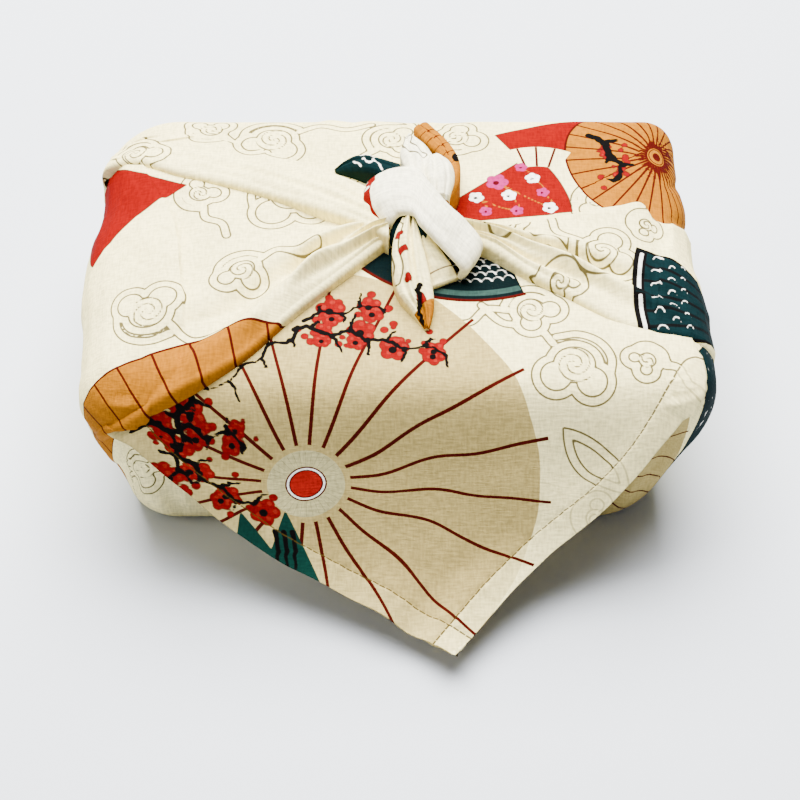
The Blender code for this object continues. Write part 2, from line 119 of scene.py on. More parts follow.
# %% Light
ROOM_COLOUR, ROOM_STRENGTH = (0.93, 0.95, 1.0, 1), 0.21
LAMP_COLOUR = (1.0, 0.985, 0.96)
# name, place, point it faces, width in metres, watts
SOFTBOXES = [("softbox_top", (-0.06, 0.43, 1.10), (0, 0, 0), 1.1, 122.0),
             ("softbox_left", (-0.95, -0.25, 0.80), (0, 0, 0.03), 0.5, 3.0)]
world = bpy.data.worlds.new("room")
world.use_nodes = True
world.node_tree.nodes["Background"].inputs["Color"].default_value = ROOM_COLOUR
world.node_tree.nodes["Background"].inputs["Strength"].default_value = ROOM_STRENGTH
bpy.context.scene.world = world
for name, place, aim, size, watts in SOFTBOXES:
    light = bpy.data.lights.new(name, "AREA")
    light.shape, light.size, light.energy = "SQUARE", size, watts
    light.color = LAMP_COLOUR
    lamp = bpy.data.objects.new(name, light)
    lamp.location = place
    lamp.rotation_euler = (Vector(place) - Vector(aim)).to_track_quat("Z", "Y").to_euler()
    scene_objects.link(lamp)
    print(name, watts, "W")

# %% [markdown]
# ## Curves
# A shape here starts as a table of a few named points, made smooth by a
# spline. Modelling by hand in edit mode could not be repeated or measured; a
# table can, and one spline function serves every edge, rim and brush stroke.

# %% Spline
def spline(table, count):
    """Hermite curve through the rows of a table: each row's slope is the
    central difference of its neighbours, spacing is even along the curve."""
    t = np.asarray(table, float)
    knots = np.r_[0.0, np.cumsum(np.linalg.norm(np.diff(t[:, :3], axis=0), axis=1))]
    pos = np.linspace(0.0, knots[-1], count)
    seg = np.clip(np.searchsorted(knots, pos, side="right") - 1, 0, len(t) - 2)
    h = (knots[seg + 1] - knots[seg])[:, None]
    w = (pos[:, None] - knots[seg][:, None]) / h
    slope = np.gradient(t, knots, axis=0)
    a, b, m0, m1 = t[seg], t[seg + 1], slope[seg] * h, slope[seg + 1] * h
    w2, w3 = w * w, w * w * w
    return ((2 * w3 - 3 * w2 + 1) * a + (w3 - 2 * w2 + w) * m0
            + (-2 * w3 + 3 * w2) * b + (w3 - w2) * m1)


print("halfway along a hook:", spline([[0, 0, 0], [10, 0, 0], [10, 5, 0]], 3)[1].round(2))

# %% [markdown]
# ## Relief and ramps
# Cloth is never quite even. Soft random relief comes from a sum of plane
# waves with a fixed seed, so every run gives the same cloth, and a smooth ramp
# fades one shape into the next. Both work on whole arrays at once.

# %% Relief and ramps
def smooth(x, low, high):
    """Soft ramp from 0 at low to 1 at high: 3 t squared less 2 t cubed."""
    t = np.clip((x - low) / (high - low), 0, 1)
    return t * t * (3 - 2 * t)


def bumps(x, y, seed, size, count=26):
    """Soft random relief between -1 and 1: a sum of plane waves of about the
    given wavelength in random directions, from a fixed seed."""
    rng = np.random.default_rng(seed)
    out = np.zeros(np.broadcast(x, y).shape)
    for _ in range(count):
        a, f, p = rng.uniform(0, np.pi), rng.uniform(0.6, 1.5) / size, rng.uniform(0, 6.28)
        out = out + np.sin(2 * np.pi * f * (x * np.cos(a) + y * np.sin(a)) + p)
    return out / np.sqrt(count)


def normals(grid):
    """Unit normals of a grid of points, on its upper side: the cross product
    of the steps along columns and rows."""
    n = np.cross(np.gradient(grid, axis=1), np.gradient(grid, axis=0))
    n /= np.linalg.norm(n, axis=-1, keepdims=True) + 1e-9
    return n * np.where(n[..., 2:] < 0, -1.0, 1.0)


print("ramp at a quarter:", smooth(0.25, 0, 1))

# %% [markdown]
# ## From a grid to a piece
# Every fold of the cloth is a grid of points between smooth curves. Faces join
# neighbours, a loose sheet gets a coarser underside close below it, and each
# point keeps its place on the flat cloth, which the print is drawn in. A
# Solidify modifier would double the fine faces where nobody looks.

# %% Faces of a grid
FACE_UP = ((0, 0), (0, 1), (1, 1), (1, 0))
FACE_DOWN = ((0, 0), (1, 0), (1, 1), (0, 1))
COARSE = 4                                 # the underside keeps every fourth point


def quads(idx, order):
    """Faces of a grid of point numbers: each joins four neighbours, in the
    given order of row and column steps, which says the way it faces."""
    n, m = idx.shape
    corners = [idx[i:n - 1 + i, j:m - 1 + j] for i, j in order]
    return np.stack(corners, -1).reshape(-1, 4).tolist()


def underside(grid, idx, depth):
    """Coarser copy of a sheet, moved down along its normals. Returns its
    points, the rows and columns kept, and its faces with four side walls."""
    n, m = idx.shape
    rows, cols = (np.r_[np.arange(0, k - 1, COARSE), k - 1] for k in (n, m))
    low = grid[np.ix_(rows, cols)]
    low = low - normals(low) * depth
    lid = n * m + np.arange(len(rows) * len(cols)).reshape(len(rows), len(cols))
    faces = quads(lid, FACE_DOWN)
    for a, b in zip(range(len(cols) - 1), range(1, len(cols))):
        faces.append(idx[0, cols[a]:cols[b] + 1].tolist() + [int(lid[0, b]), int(lid[0, a])])
        faces.append(idx[-1, cols[a]:cols[b] + 1].tolist()[::-1] + [int(lid[-1, a]), int(lid[-1, b])])
    for a, b in zip(range(len(rows) - 1), range(1, len(rows))):
        faces.append(idx[rows[a]:rows[b] + 1, 0].tolist()[::-1] + [int(lid[a, 0]), int(lid[b, 0])])
        faces.append(idx[rows[a]:rows[b] + 1, -1].tolist() + [int(lid[b, -1]), int(lid[a, -1])])
    return low, rows, cols, faces


print("faces of a 3 by 3 grid:", len(quads(np.arange(9).reshape(3, 3), FACE_UP)))

# %% [markdown]
# The next cell writes such a grid into a mesh. Points that fall together, as
# where a tube meets itself, are merged, and the normals are worked out afresh
# on the closed form, so that every face points outwards.

# %% Grid to piece
UNDER_VALUE = 50.0                         # a field's value on the underside, mm
MERGE = 1e-6                               # metres


def store(me, values):
    """Keep named values on the points of a mesh."""
    for key, value in values.items():
        me.attributes.new(key, "FLOAT", "POINT").data.foreach_set("value", value.astype(np.float32))


def weld(me):
    """Merge points that fall together and turn all faces outwards."""
    bm = bmesh.new()
    bm.from_mesh(me)
    bmesh.ops.remove_doubles(bm, verts=bm.verts, dist=MERGE)
    bmesh.ops.recalc_face_normals(bm, faces=bm.faces)
    bm.to_mesh(me)
    bm.free()


def grid_piece(name, grid, flat, fields=None, cap=False, under=None):
    """Piece from a grid of points (rows, columns, 3) in mm. flat holds the cloth
    coordinates of every point in mm, fields other named values. cap closes the
    first and last row, under closes a sheet with an underside that far below."""
    n, m = grid.shape[:2]
    idx = np.arange(n * m).reshape(n, m)
    points, coords = grid.reshape(-1, 3), flat.reshape(-1, 2)
    faces = quads(idx, FACE_UP)
    if cap:
        faces += [idx[0, ::-1][:-1].tolist(), idx[-1][:-1].tolist()]
    if under is not None:
        low, rows, cols, more = underside(grid, idx, under)
        faces += more
        points = np.r_[points, low.reshape(-1, 3)]
        coords = np.r_[coords, flat[np.ix_(rows, cols)].reshape(-1, 2)]
    me = bpy.data.meshes.new(name)
    me.from_pydata((points * MM).tolist(), [], faces)
    layer = me.uv_layers.new(name="cloth")
    corner = np.empty(len(me.loops), np.int32)
    me.loops.foreach_get("vertex_index", corner)
    layer.data.foreach_set("uv", (coords * MM)[corner].ravel())
    extra = {key: np.r_[value.ravel(), np.full(len(points) - value.size, UNDER_VALUE)]
             for key, value in (fields or {}).items()}
    store(me, {"cu": coords[:, 0], "cv": coords[:, 1], **extra})
    weld(me)
    me.polygons.foreach_set("use_smooth", np.ones(len(me.polygons), bool))
    ob = bpy.data.objects.new(name, me)
    bpy.context.scene.collection.objects.link(ob)
    print(f"{name}: {len(me.vertices)} points, {len(me.polygons)} faces")
    return ob


# %% [markdown]
# ## The bundle
# The box under the cloth shows only as a shape: rounded edges, ends that swell
# where the cloth is pulled up to the knot, and a base drawn in where the cloth
# is stretched round the corners. It is a stack of rounded rectangles. A cube
# with a bevel would be quicker, but its ends could not swell and draw in.

# %% Bundle tables
# height, half length left, half length right, half depth front and back, corner
BODY = np.array([
    [0.0, 91.0, 84.0, 59.5, 58.5, 19.0], [1.2, 95.5, 88.5, 62.0, 61.5, 20.0],
    [5.0, 99.5, 94.0, 64.0, 64.5, 22.0], [12.0, 102.0, 98.5, 65.5, 67.0, 24.0],
    [22.0, 104.5, 102.5, 66.5, 69.0, 25.0], [34.0, 108.0, 107.0, 67.4, 70.5, 24.0],
    [46.0, 110.6, 110.4, 68.0, 71.3, 22.0], [57.0, 111.6, 111.6, 68.4, 71.6, 21.0],
    [65.0, 110.6, 110.6, 68.2, 71.2, 20.0], [71.0, 107.6, 107.6, 66.6, 69.8, 19.0],
    [75.0, 102.5, 102.5, 62.8, 66.4, 18.0], [77.0, 95.0, 95.0, 56.0, 60.0, 17.0],
    [78.0, 80.0, 80.0, 44.0, 48.0, 15.0], [78.6, 52.0, 52.0, 27.0, 30.0, 13.0],
    [78.9, 24.0, 24.0, 12.0, 14.0, 8.0]])
# depth, how far the left and the right end are drawn in there
END_SHAPE = np.array([
    [-72.0, 0.975, 0.985], [-48.0, 0.985, 0.992], [-32.0, 0.992, 0.975],
    [-14.0, 1.006, 0.968], [0.0, 1.010, 0.940], [10.0, 0.994, 0.940],
    [21.0, 0.976, 0.945], [31.0, 0.966, 0.948], [42.0, 0.978, 0.935],
    [54.0, 0.990, 0.930], [72.0, 0.985, 0.930]])
# each corner's own share of the radius: right front, right back, left back, left front
CORNERS = (1.0, 0.4, 1.2, 0.72)
print("bundle", BODY[:, 1:3].max(axis=0).sum(), "mm long,", BODY[-1, 0], "mm high")

# %% [markdown]
# A ring is read off one row of the table: straight sides between four arcs.
# The ends' factor then draws it in a little more or less from front to back,
# because the cloth there is pulled up in folds and not in one flat sheet.

# %% Bundle rings
END_SOFTEN = 11                            # mm over which the end table is averaged


def end_factor(x, y):
    """How far each end is drawn in at a depth: END_SHAPE, softly averaged."""
    fine_y = np.linspace(-75, 75, 151)
    soft = np.ones(END_SOFTEN) / END_SOFTEN
    raw = [np.interp(fine_y, END_SHAPE[:, 0], END_SHAPE[:, k]) for k in (1, 2)]
    left, right = (np.convolve(np.pad(r, END_SOFTEN // 2, mode="edge"), soft, "valid") for r in raw)
    return np.where(x < 0, np.interp(y, fine_y, left), np.interp(y, fine_y, right))


def body_ring(row, per_side, per_corner):
    """Rounded rectangle: straight sides between four arcs, each of its own
    radius. It starts in the middle of the back, where the join shows least."""
    z, left, right, hf, hb, rad = row
    arcs = []
    for factor, (cx, cy, start) in zip(CORNERS, [(right, -hf, -90), (right, hb, 0),
                                                 (-left, hb, 90), (-left, -hf, 180)]):
        r = rad * factor
        ang = np.radians(start + np.linspace(0, 90, per_corner))
        mid_x, mid_y = cx - np.sign(cx) * r, cy - np.sign(cy) * r
        arcs.append(np.stack([mid_x + r * np.cos(ang), mid_y + r * np.sin(ang)], 1))
    mid = (arcs[1][-1] + arcs[2][0]) / 2
    pts, last = [], mid
    for k, arc in enumerate([arcs[2], arcs[3], arcs[0], arcs[1]]):
        steps = np.linspace(0, 1, per_side[k % 2] + 2)[1 if k else 0:-1, None]
        pts += [last + (arc[0] - last) * steps, arc]
        last = arc[-1]
    steps = np.linspace(0, 1, per_side[0] + 2)[1:, None]
    pts.append(last + (mid - last) * steps)
    p = np.concatenate(pts)
    p[:, 0] *= end_factor(p[:, 0], p[:, 1])
    return np.c_[p, np.full(len(p), z)]


print("one ring:", body_ring(BODY[5], (150, 76), 22).shape)

# %% [markdown]
# ## Lying on the bundle
# Flap and wings lie on the bundle, so they need to know where it is. The top's
# height at a place comes from the distance in from the rim, looked up in the
# rings' heights, and points inside are pushed out the shorter way. A shrinkwrap
# modifier would flatten the folds as well.

# %% Height and clearance
RIM_LEFT_RIGHT, RIM_FRONT, RIM_BACK = 111.6, 68.4, 71.6     # the widest ring, mm
RIM_RADIUS = 20.0
TOP = 78.9


def corner_factor(x, y):
    """Which corner's radius counts at a place."""
    return np.where(x > 0, np.where(y < 0, CORNERS[0], CORNERS[1]), np.where(y > 0, CORNERS[2], CORNERS[3]))


def body_top(x, y):
    """Height of the bundle's top at a place: the distance in from the rim,
    looked up in the rings' heights."""
    x, y = np.asarray(x, float), np.asarray(y, float)
    r = RIM_RADIUS * corner_factor(x, y)
    qx = np.abs(x) / end_factor(x, y) - RIM_LEFT_RIGHT + r
    qy = np.where(y < 0, -y - RIM_FRONT, y - RIM_BACK) + r
    inside = r - np.hypot(np.maximum(qx, 0), np.maximum(qy, 0)) - np.minimum(np.maximum(qx, qy), 0)
    return np.interp(inside, [-3.0, 0.0, 1.0, 4.0, 9.1, 16.6, 28.0, 42.0, 59.0],
                     [50.0, 57.0, 65.0, 71.0, 75.0, 77.0, 78.0, 78.6, TOP])


def clear(g, gap):
    """Move points out of the bundle until they stand gap off it: sideways off
    the ring of their height, upwards off the top, or a blend near the rim."""
    g = g.copy()
    for _ in range(4):
        x, y, z = g[..., 0], g[..., 1], g[..., 2]
        left, right, hf, hb, rad = (np.interp(z, BODY[:, 0], BODY[:, k]) for k in range(1, 6))
        rad = rad * corner_factor(x, y)
        qx = np.abs(x) / end_factor(x, y) - np.where(x < 0, left, right) + rad
        qy = np.where(y < 0, -y - hf, y - hb) + rad
        px, py = np.maximum(qx, 0), np.maximum(qy, 0)
        far = np.hypot(px, py)
        side = gap - (far + np.minimum(np.maximum(qx, qy), 0) - rad)
        px, py = np.where(far > 0, px, qx > qy), np.where(far > 0, py, qx <= qy)
        far = np.hypot(px, py)
        up = body_top(x, y) + gap - z
        push = (side > 0) & ((up > 0) | ((side < 6) & (z < 72)))
        part = np.where(up > 0, up ** 3 / (up ** 3 + np.abs(side) ** 3 + 1e-9), 1.0)
        g[..., 0] += np.where(push, part * side * px / far * np.sign(x), 0)
        g[..., 1] += np.where(push, part * side * py / far * np.sign(y), 0)
        g[..., 2] += np.where(push, (1 - part) * up, 0)
    return g


print("top in the middle and near the rim:", body_top([0, 100], [0, 0]).round(1))

# %% [markdown]
# ## Unrolled plan
# The print has to know where a point lies on the flat cloth. On the bundle
# that is its place in plan, and for the sides the drop below the top is folded
# outwards, as when the sides of a paper box are laid flat. A UV unwrap by
# Blender would cut the cloth into islands.

# %% Unrolled plan
FLAT_LEFT_RIGHT, FLAT_FRONT, FLAT_BACK = 91.6, 48.4, 51.6   # where the corners' arcs start


def unroll(x, y, z):
    """Cloth coordinates of a point on the bundle: plan position plus the drop
    below the top, outwards."""
    qx, qy = np.abs(x) - FLAT_LEFT_RIGHT, np.where(y < 0, -y - FLAT_FRONT, y - FLAT_BACK)
    near = np.where(qx > qy, 1.0, 0.0)
    gx = np.where((qx > 0) & (qy > 0), qx, near) * np.sign(x)
    gy = np.where((qx > 0) & (qy > 0), qy, 1.0 - near) * np.sign(y)
    n = np.hypot(gx, gy) + 1e-9
    drop = np.clip(TOP - z, 0, None)
    return np.stack([x + gx / n * drop, y + gy / n * drop], -1)


print("foot of the right end, laid flat:", unroll(np.array(100.0), np.array(0.0), np.array(0.0)))

# %% [markdown]
# ## The bundle's surface
# The cloth on the bundle is not quite smooth. At each end it is pulled up to
# the knot, so faint pleats fan out from a point above the end; the front and
# the back show soft drag folds; and at the left front corner the pulled-up
# cloth lies over the front cloth with a folded edge. All are offsets along the
# surface, added to the rings, which keeps the box's own shape in one table.

# %% Bundle folds
# end pleats: place, width, height; drag folds: place at the foot, lean, width, height
END_PLEATS = [(-1.05, 0.10, 0.5), (-0.62, 0.07, -1.2), (-0.40, 0.10, 0.3), (-0.08, 0.06, -1.3),
              (0.12, 0.10, 0.4), (0.42, 0.06, -1.2), (0.66, 0.10, 0.3), (0.98, 0.07, -1.1)]
BACK_DRAG = [(-92, 0.9, 3.2, 0.9), (-84, 0.9, 3.0, -1.1), (60, -0.7, 3.4, 0.8), (68, -0.7, 3.0, -1.0),
             (-22, 0.35, 4.0, -0.9), (-14, 0.35, 3.4, 0.6), (24, -0.2, 3.6, -0.8), (88, -0.9, 3.0, -0.8)]
FRONT_DRAG = [(-66, -0.42, 3.6, -1.5), (-58, -0.42, 3.4, 1.0), (-84, -0.10, 2.8, 0.9),
              (-78, -0.12, 2.6, -1.2), (70, 0.30, 3.4, -1.3), (77, 0.28, 3.0, 0.9), (86, 0.10, 2.6, -1.0)]


def drag_folds(x, z, rows):
    """Long folds: Gaussians across x whose middle line leans with height."""
    return sum(h * np.exp(-((x - x0 - lean * z) / w) ** 2) for x0, lean, w, h in rows)


def bundle_relief(x, y, z):
    """How far the cloth stands off the rings, in mm."""
    side = smooth(z, 2, 16) * (1 - smooth(z, 72, 77.5))
    spread = (y - 4) / (104.0 - z)
    pleats = sum(h * np.exp(-((spread - c) / w) ** 2) for c, w, h in END_PLEATS)
    ends = smooth(np.abs(x), 88, 104)
    calm = 0.6 * bumps(x + y, z * 1.5, 3, 42) * (1 - ends)
    low_front = smooth(-y, 52, 60) * (1 - smooth(z, 30, 52))
    tucks = -1.3 * np.exp(-((np.abs(x) - 80 - 0.22 * z) / 3.0) ** 2) * low_front
    back = drag_folds(x, z, BACK_DRAG) * smooth(y, 52, 62)
    front = drag_folds(x, z, FRONT_DRAG) * smooth(-y, 44, 56) * (1 - smooth(z, 56, 70))
    folded_edge = (x + 97.5 - 0.10 * (z - 40)) + 0.55 * (y + 66)
    overlap = 0.9 * (1 - smooth(folded_edge, -0.6, 0.6)) * smooth(-y, 30, 46) * smooth(z, 12, 20)
    return side * (ends * (pleats - 0.6) + calm + tucks + back + front + overlap)


print("relief on the left end:", bundle_relief(*np.array([[-110.0], [0.0], [40.0]])).round(2))

# %% [markdown]
# The rings are read off the table by the spline, from the foot up to the top,
# and the top is closed by rings that shrink towards its middle. The offset
# goes outwards along a square-cornered superellipse, so that the long sides
# move straight out and only the corners turn.

# %% Bundle surface
HALF_LENGTH, HALF_DEPTH, SQUARENESS = 111.0, 70.0, 7
rows = spline(np.c_[BODY[:, 2], BODY[:, 4], BODY[:, 0], BODY], int(130 * FINE))[:, 3:]
inner = np.linspace(1, 0.03, int(12 * FINE))[1:, None]
rows = np.r_[rows, np.c_[np.full(len(inner), 78.95), BODY[-1, 1:] * inner]]
rows[0, 0] = 0.0
grid = np.stack([body_ring(r, (int(150 * FINE), int(76 * FINE)), int(22 * FINE)) for r in rows])
X, Y, Z = grid[..., 0], grid[..., 1], grid[..., 2]
off = bundle_relief(X, Y, Z)
body_flat = unroll(X, Y, Z)
out_x, out_y = (X / HALF_LENGTH) ** SQUARENESS, (Y / HALF_DEPTH) ** SQUARENESS
size = np.hypot(out_x, out_y) + 1e-9
grid[..., 0] += off * out_x / size
grid[..., 1] += off * out_y / size
bundle = grid_piece("bundle_cloth", grid, body_flat, cap=True)

# %% [markdown]
# ## The hanging corner
# The last corner of the square lies over the top and hangs in front. Its two
# hemmed edges are nearly straight and meet at a right angle, and the cloth
# falls steeply from the box's edge, then flares out to its tip just above the
# table. It is a sheet: a height for each place, in a table of the fall, on a
# grid between the two hems. A cloth simulation would not stop where the hems
# are known to lie.

# %% Flap tables
# y of a place, and the height of the fall there
FLAP_PROFILE = np.array([
    [-138.0, 10.2], [-129.7, 10.4], [-120.0, 11.8], [-110.0, 15.0], [-100.0, 21.2],
    [-92.0, 29.6], [-86.0, 39.0], [-80.0, 51.0], [-74.0, 63.4], [-69.0, 71.6],
    [-64.0, 76.2], [-58.0, 78.2], [-50.0, 78.9], [-43.0, 79.1], [-26.0, 79.3], [20.0, 79.5]])
# the two hemmed edges in plan, and the two lines under the knot they start from
FLAP_LEFT = np.array([[-101.4, -68.4], [-90.0, -76.6], [-78.7, -81.8], [-67.0, -86.9],
                      [-55.2, -92.2], [-41.5, -98.2], [-27.6, -104.2], [-12.1, -111.6],
                      [4.1, -120.4], [12.0, -125.3], [18.8, -130.0]])
FLAP_RIGHT = np.array([[103.4, -59.4], [98.8, -66.2], [93.8, -72.1], [85.3, -78.5],
                       [74.5, -84.6], [68.8, -87.6], [60.4, -92.1], [51.8, -96.8],
                       [42.5, -104.1], [34.4, -111.6], [26.0, -120.9], [18.8, -130.0]])
UNDER_LEFT = np.array([[-50.0, 0.0], [-70.0, -20.0], [-88.0, -42.0], [-97.0, -57.0]])
UNDER_RIGHT = np.array([[50.0, 0.0], [75.0, -14.0], [92.0, -28.0], [100.5, -43.0]])
RIM_Y = -62.0                              # where the fall begins
STITCH = 9.0                               # from the hem's edge to its stitches, mm
fall_y = np.linspace(-140, 25, 1651)
fall_z = np.interp(fall_y, FLAP_PROFILE[:, 0], FLAP_PROFILE[:, 1])
for _ in range(3):
    fall_z = np.convolve(np.pad(fall_z, 20, mode="edge"), np.ones(41) / 41, "valid")
fall_len = np.cumsum(np.r_[0, np.hypot(np.diff(fall_y), np.diff(fall_z))])
fall_len = np.interp(RIM_Y, fall_y, fall_len) - fall_len
print(f"from the rim to the tip {np.interp(-130, fall_y, fall_len):.0f} mm along the fall")

# %% [markdown]
# Two helpers for the flap. One gives its height at a place, never lower than
# the bundle's top. The other measures how far each point is from a hem, along
# the cloth, because the hem's relief and its stitches follow that distance.

# %% Flap height and hem distance
DROOP_FROM, DROOP_WIDTH, DROOP = 84.0, 18.0, 13.0      # mm, past the bundle's ends
LIE = 1.0                                  # least height over the bundle's top, mm


def flap_height(x, y):
    """Height of the fall at y, less a droop that grows with the square of the
    way past the bundle's ends, with two long waves, and above the top."""
    past = np.clip((np.abs(x) - DROOP_FROM) / DROOP_WIDTH, 0, 1.4)
    hang = np.clip((-y - 70.0) / 60.0, 0, 1)
    wave = 1.1 * np.sin(0.055 * x + 0.6) * hang + 0.7 * np.sin(0.12 * x - 0.03 * y) * hang
    z = np.interp(y, fall_y, fall_z) - DROOP * past ** 2 + wave
    over = body_top(x, y)
    return np.where(over > 56.0, np.maximum(z, over + LIE), z)


def to_line(p, line):
    """Distance of points to a polyline, and the length along it."""
    a, d = line[:-1], np.diff(line, axis=0)
    seg = np.linalg.norm(d, axis=1)
    start = np.r_[0, np.cumsum(seg)][:-1]
    best, along = np.full(len(p), 1e9), np.zeros(len(p))
    for k in range(len(a)):
        t = np.clip(((p - a[k]) @ d[k]) / seg[k] ** 2, 0, 1)
        dist = np.linalg.norm(p - (a[k] + t[:, None] * d[k]), axis=1)
        take = dist < best
        best = np.where(take, dist, best)
        along = np.where(take, start[k] + t * seg[k], along)
    return best, along


def hem_distance(edge, flat):
    """Distance to one hem and run along it, for every point of the flap."""
    line = np.stack([edge[:, 0], -np.interp(edge[:, 1], fall_y, fall_len)], 1)
    fine = spline(np.c_[line, np.zeros(len(line))], 40)[:, :2]
    hem, run = to_line(flat.reshape(-1, 2), fine)
    return hem.reshape(flat.shape[:2]), run.reshape(flat.shape[:2])


print("flap height at the tip:", flap_height(np.array([18.8]), np.array([-130.0])).round(1))

# %% [markdown]
# The flap's own relief: a dip where it bends over the box's edge, a long
# shallow fold along the right hem, soft waves, the step of the doubled hem,
# and the groove and puckers that the stitches pull into it.

# %% Flap surface
BEND_Y, BEND_DIP = -77, 3.2                # dip below the box's edge: y and depth
FOLD_INSET, FOLD_DEPTH = 19, 1.5           # long fold beside the right hem
HEM_STEP = 0.5                             # height of the doubled hem
GROOVE, PUCKER, PUCKER_STEP = 0.35, 0.16, 6.5          # what the stitches pull in
CLOTH_DEPTH = 0.9                          # from the cloth's upper side to its underside
n_down, n_across = int(264 * FINE), int(320 * FINE)
edges = [spline(np.c_[np.r_[top, edge], np.zeros(len(top) + len(edge))], n_down)[:, :2]
         for top, edge in ((UNDER_LEFT, FLAP_LEFT), (UNDER_RIGHT, FLAP_RIGHT))]
s = np.linspace(0, 1, n_across)[None, :, None]
plan = edges[0][:, None] * (1 - s) + edges[1][:, None] * s
X, Y = plan[..., 0], plan[..., 1]
down = np.interp(Y, fall_y, fall_len)
flap_flat = np.stack([X, -down], -1)
hem_l, run_l = hem_distance(FLAP_LEFT, flap_flat)
hem_r, run_r = hem_distance(FLAP_RIGHT, flap_flat)
hem, run = np.minimum(hem_l, hem_r), np.where(hem_l < hem_r, run_l, run_r)
hangs = smooth(-Y, 62, 70)
bend = BEND_DIP * np.exp(-((Y - BEND_Y) / 7) ** 2)
Z = flap_height(X, Y) - bend * smooth(hem_l, 4, 16) * smooth(hem_r, 4, 16)
Z = Z - FOLD_DEPTH * np.exp(-((hem_r - FOLD_INSET) / 6) ** 2) * smooth(-Y, 88, 100)
Z = Z + 0.55 * bumps(X, down, 11, 30) * smooth(-Y, 60, 80)
Z = Z + HEM_STEP * (1 - smooth(hem, STITCH - 0.4, STITCH + 0.6)) * hangs
seam = np.minimum(np.abs(hem_l - STITCH), np.abs(hem_r - STITCH))
tug = np.sin(2 * np.pi * run / PUCKER_STEP)
Z = Z - (GROOVE * np.exp(-(seam / 0.8) ** 2) + PUCKER * tug * np.exp(-(seam / 3.0) ** 2)) * hangs
flap_grid = clear(np.stack([X, Y, Z], -1), 1.2 + 1.3 * smooth(X, 80, 96))
flap = grid_piece("front_flap", flap_grid, flap_flat,
                  {"hem_l": hem_l, "hem_r": hem_r, "run_l": run_l, "run_r": run_r}, under=CLOTH_DEPTH)

# %% [markdown]
# ## The gathered wings
# From each end the cloth is drawn up over the top and gathered into the knot.
# Each wing lies between two fold edges that meet at the knot; the back edge
# and the folded front edge of each are tables of points in space.

# %% Wing edges
LEFT_UPPER_BACK = np.array([[-103.0, 50.0, 56.0], [-105.0, 51.5, 66.0], [-102.5, 53.5, 73.4],
                            [-92.0, 57.0, 75.0], [-70.0, 55.0, 78.0],
                            [-47.0, 46.0, 79.4], [-30.0, 34.5, 83.0], [-17.0, 23.0, 88.0],
                            [-4.0, 12.0, 90.0]])
LEFT_UPPER_FOLD = np.array([[-106.5, 39.0, 58.0], [-109.6, 40.0, 68.0], [-108.8, 41.0, 75.2],
                            [-101.0, 42.0, 78.2], [-79.2, 33.3, 81.2],
                            [-59.1, 26.1, 82.4], [-39.3, 15.4, 85.6], [-21.5, 4.0, 89.6],
                            [-4.0, -6.7, 90.2]])
LEFT_WING_BACK = np.array([[-105.0, 36.0, 30.0], [-108.6, 37.0, 46.0], [-109.0, 38.5, 60.0],
                           [-106.0, 41.0, 71.0], [-98.0, 44.0, 75.6], [-79.0, 39.0, 78.4],
                           [-59.0, 31.5, 79.2], [-39.0, 21.5, 80.2], [-20.0, 9.5, 83.0],
                           [-3.0, 1.0, 85.6]])
LEFT_WING_FOLD = np.array([[-98.0, -50.0, 24.0], [-103.6, -57.5, 38.0], [-104.0, -64.0, 48.0],
                           [-102.4, -67.8, 56.4], [-95.4, -71.0, 65.0], [-84.6, -70.4, 72.0],
                           [-75.8, -68.2, 76.4], [-67.4, -65.0, 79.2], [-54.6, -56.6, 81.4],
                           [-36.0, -35.8, 82.8], [-20.0, -19.6, 84.0], [-3.0, -3.0, 86.0]])
RIGHT_WING_BACK = np.array([[101.0, 8.0, 30.0], [105.4, 10.0, 44.0], [106.4, 13.0, 56.0],
                            [103.6, 15.4, 66.5], [97.0, 14.0, 74.8], [91.6, 14.0, 77.4],
                            [86.6, 20.6, 79.8], [78.9, 18.4, 80.6], [70.0, 16.0, 81.2],
                            [55.0, 10.4, 82.4], [35.5, 3.6, 85.4], [14.0, 3.0, 88.0]])
RIGHT_WING_FOLD = np.array([[97.0, -30.0, 24.0], [105.6, -34.0, 38.0], [107.6, -38.0, 52.0],
                            [104.4, -42.0, 64.0], [96.4, -43.2, 72.6], [87.7, -42.4, 77.0],
                            [76.6, -39.0, 80.0], [57.5, -26.9, 82.4], [44.1, -18.6, 84.2],
                            [30.0, -8.4, 86.8], [12.0, -1.0, 88.0]])
print("left wing, width at the end", np.linalg.norm(LEFT_WING_BACK[0] - LEFT_WING_FOLD[0]).round(), "mm")

# %% [markdown]
# Between its edges the cloth is crowned and falls into creases that run
# together at the knot. A wing is a grid with each crease a valley between two
# ridges, fading out away from the knot, and its edges are rolled under like
# folded cloth. Pinning a simulated sheet at the knot would move the edges too.

# %% Creases and rolled edges
def crease_lift(u, v, creases):
    """Sum of the creases: each goes from place v0 at the end to v1 at the knot
    and reaches back from the knot; a valley of width w between two ridges."""
    lift = 0.0
    for v0, v1, reach, depth, w in creases:
        x = (v - (v0 + (v1 - v0) * u)) / w
        ridges = 0.8 * np.exp(-((x - 1.7) / 1.2) ** 2) + 0.5 * np.exp(-((x + 1.9) / 1.4) ** 2)
        lift = lift + depth * smooth(u, 1 - reach, 1.0 - 0.6 * reach) * (ridges - 0.55 * np.exp(-x ** 2))
    return lift


def rolled_edge(base, way, radius, outward):
    """Rows that turn under from a wing's long edge: an arc of the given radius
    away from the web, then a skirt straight in."""
    t = smooth(base[:, 2:], 62, 74)
    into = -(outward * (1 - t) + [0, 0, 1] * t)
    into /= np.linalg.norm(into, axis=1)[:, None]
    roll = [base - way * radius * np.sin(a) + into * radius * (1 - np.cos(a))
            for a in np.radians(np.linspace(90, 12, 7))]
    skirt = roll[0] + into * (4 + t * np.maximum(base[:, 2:] - 77, 0))
    return [skirt] + roll


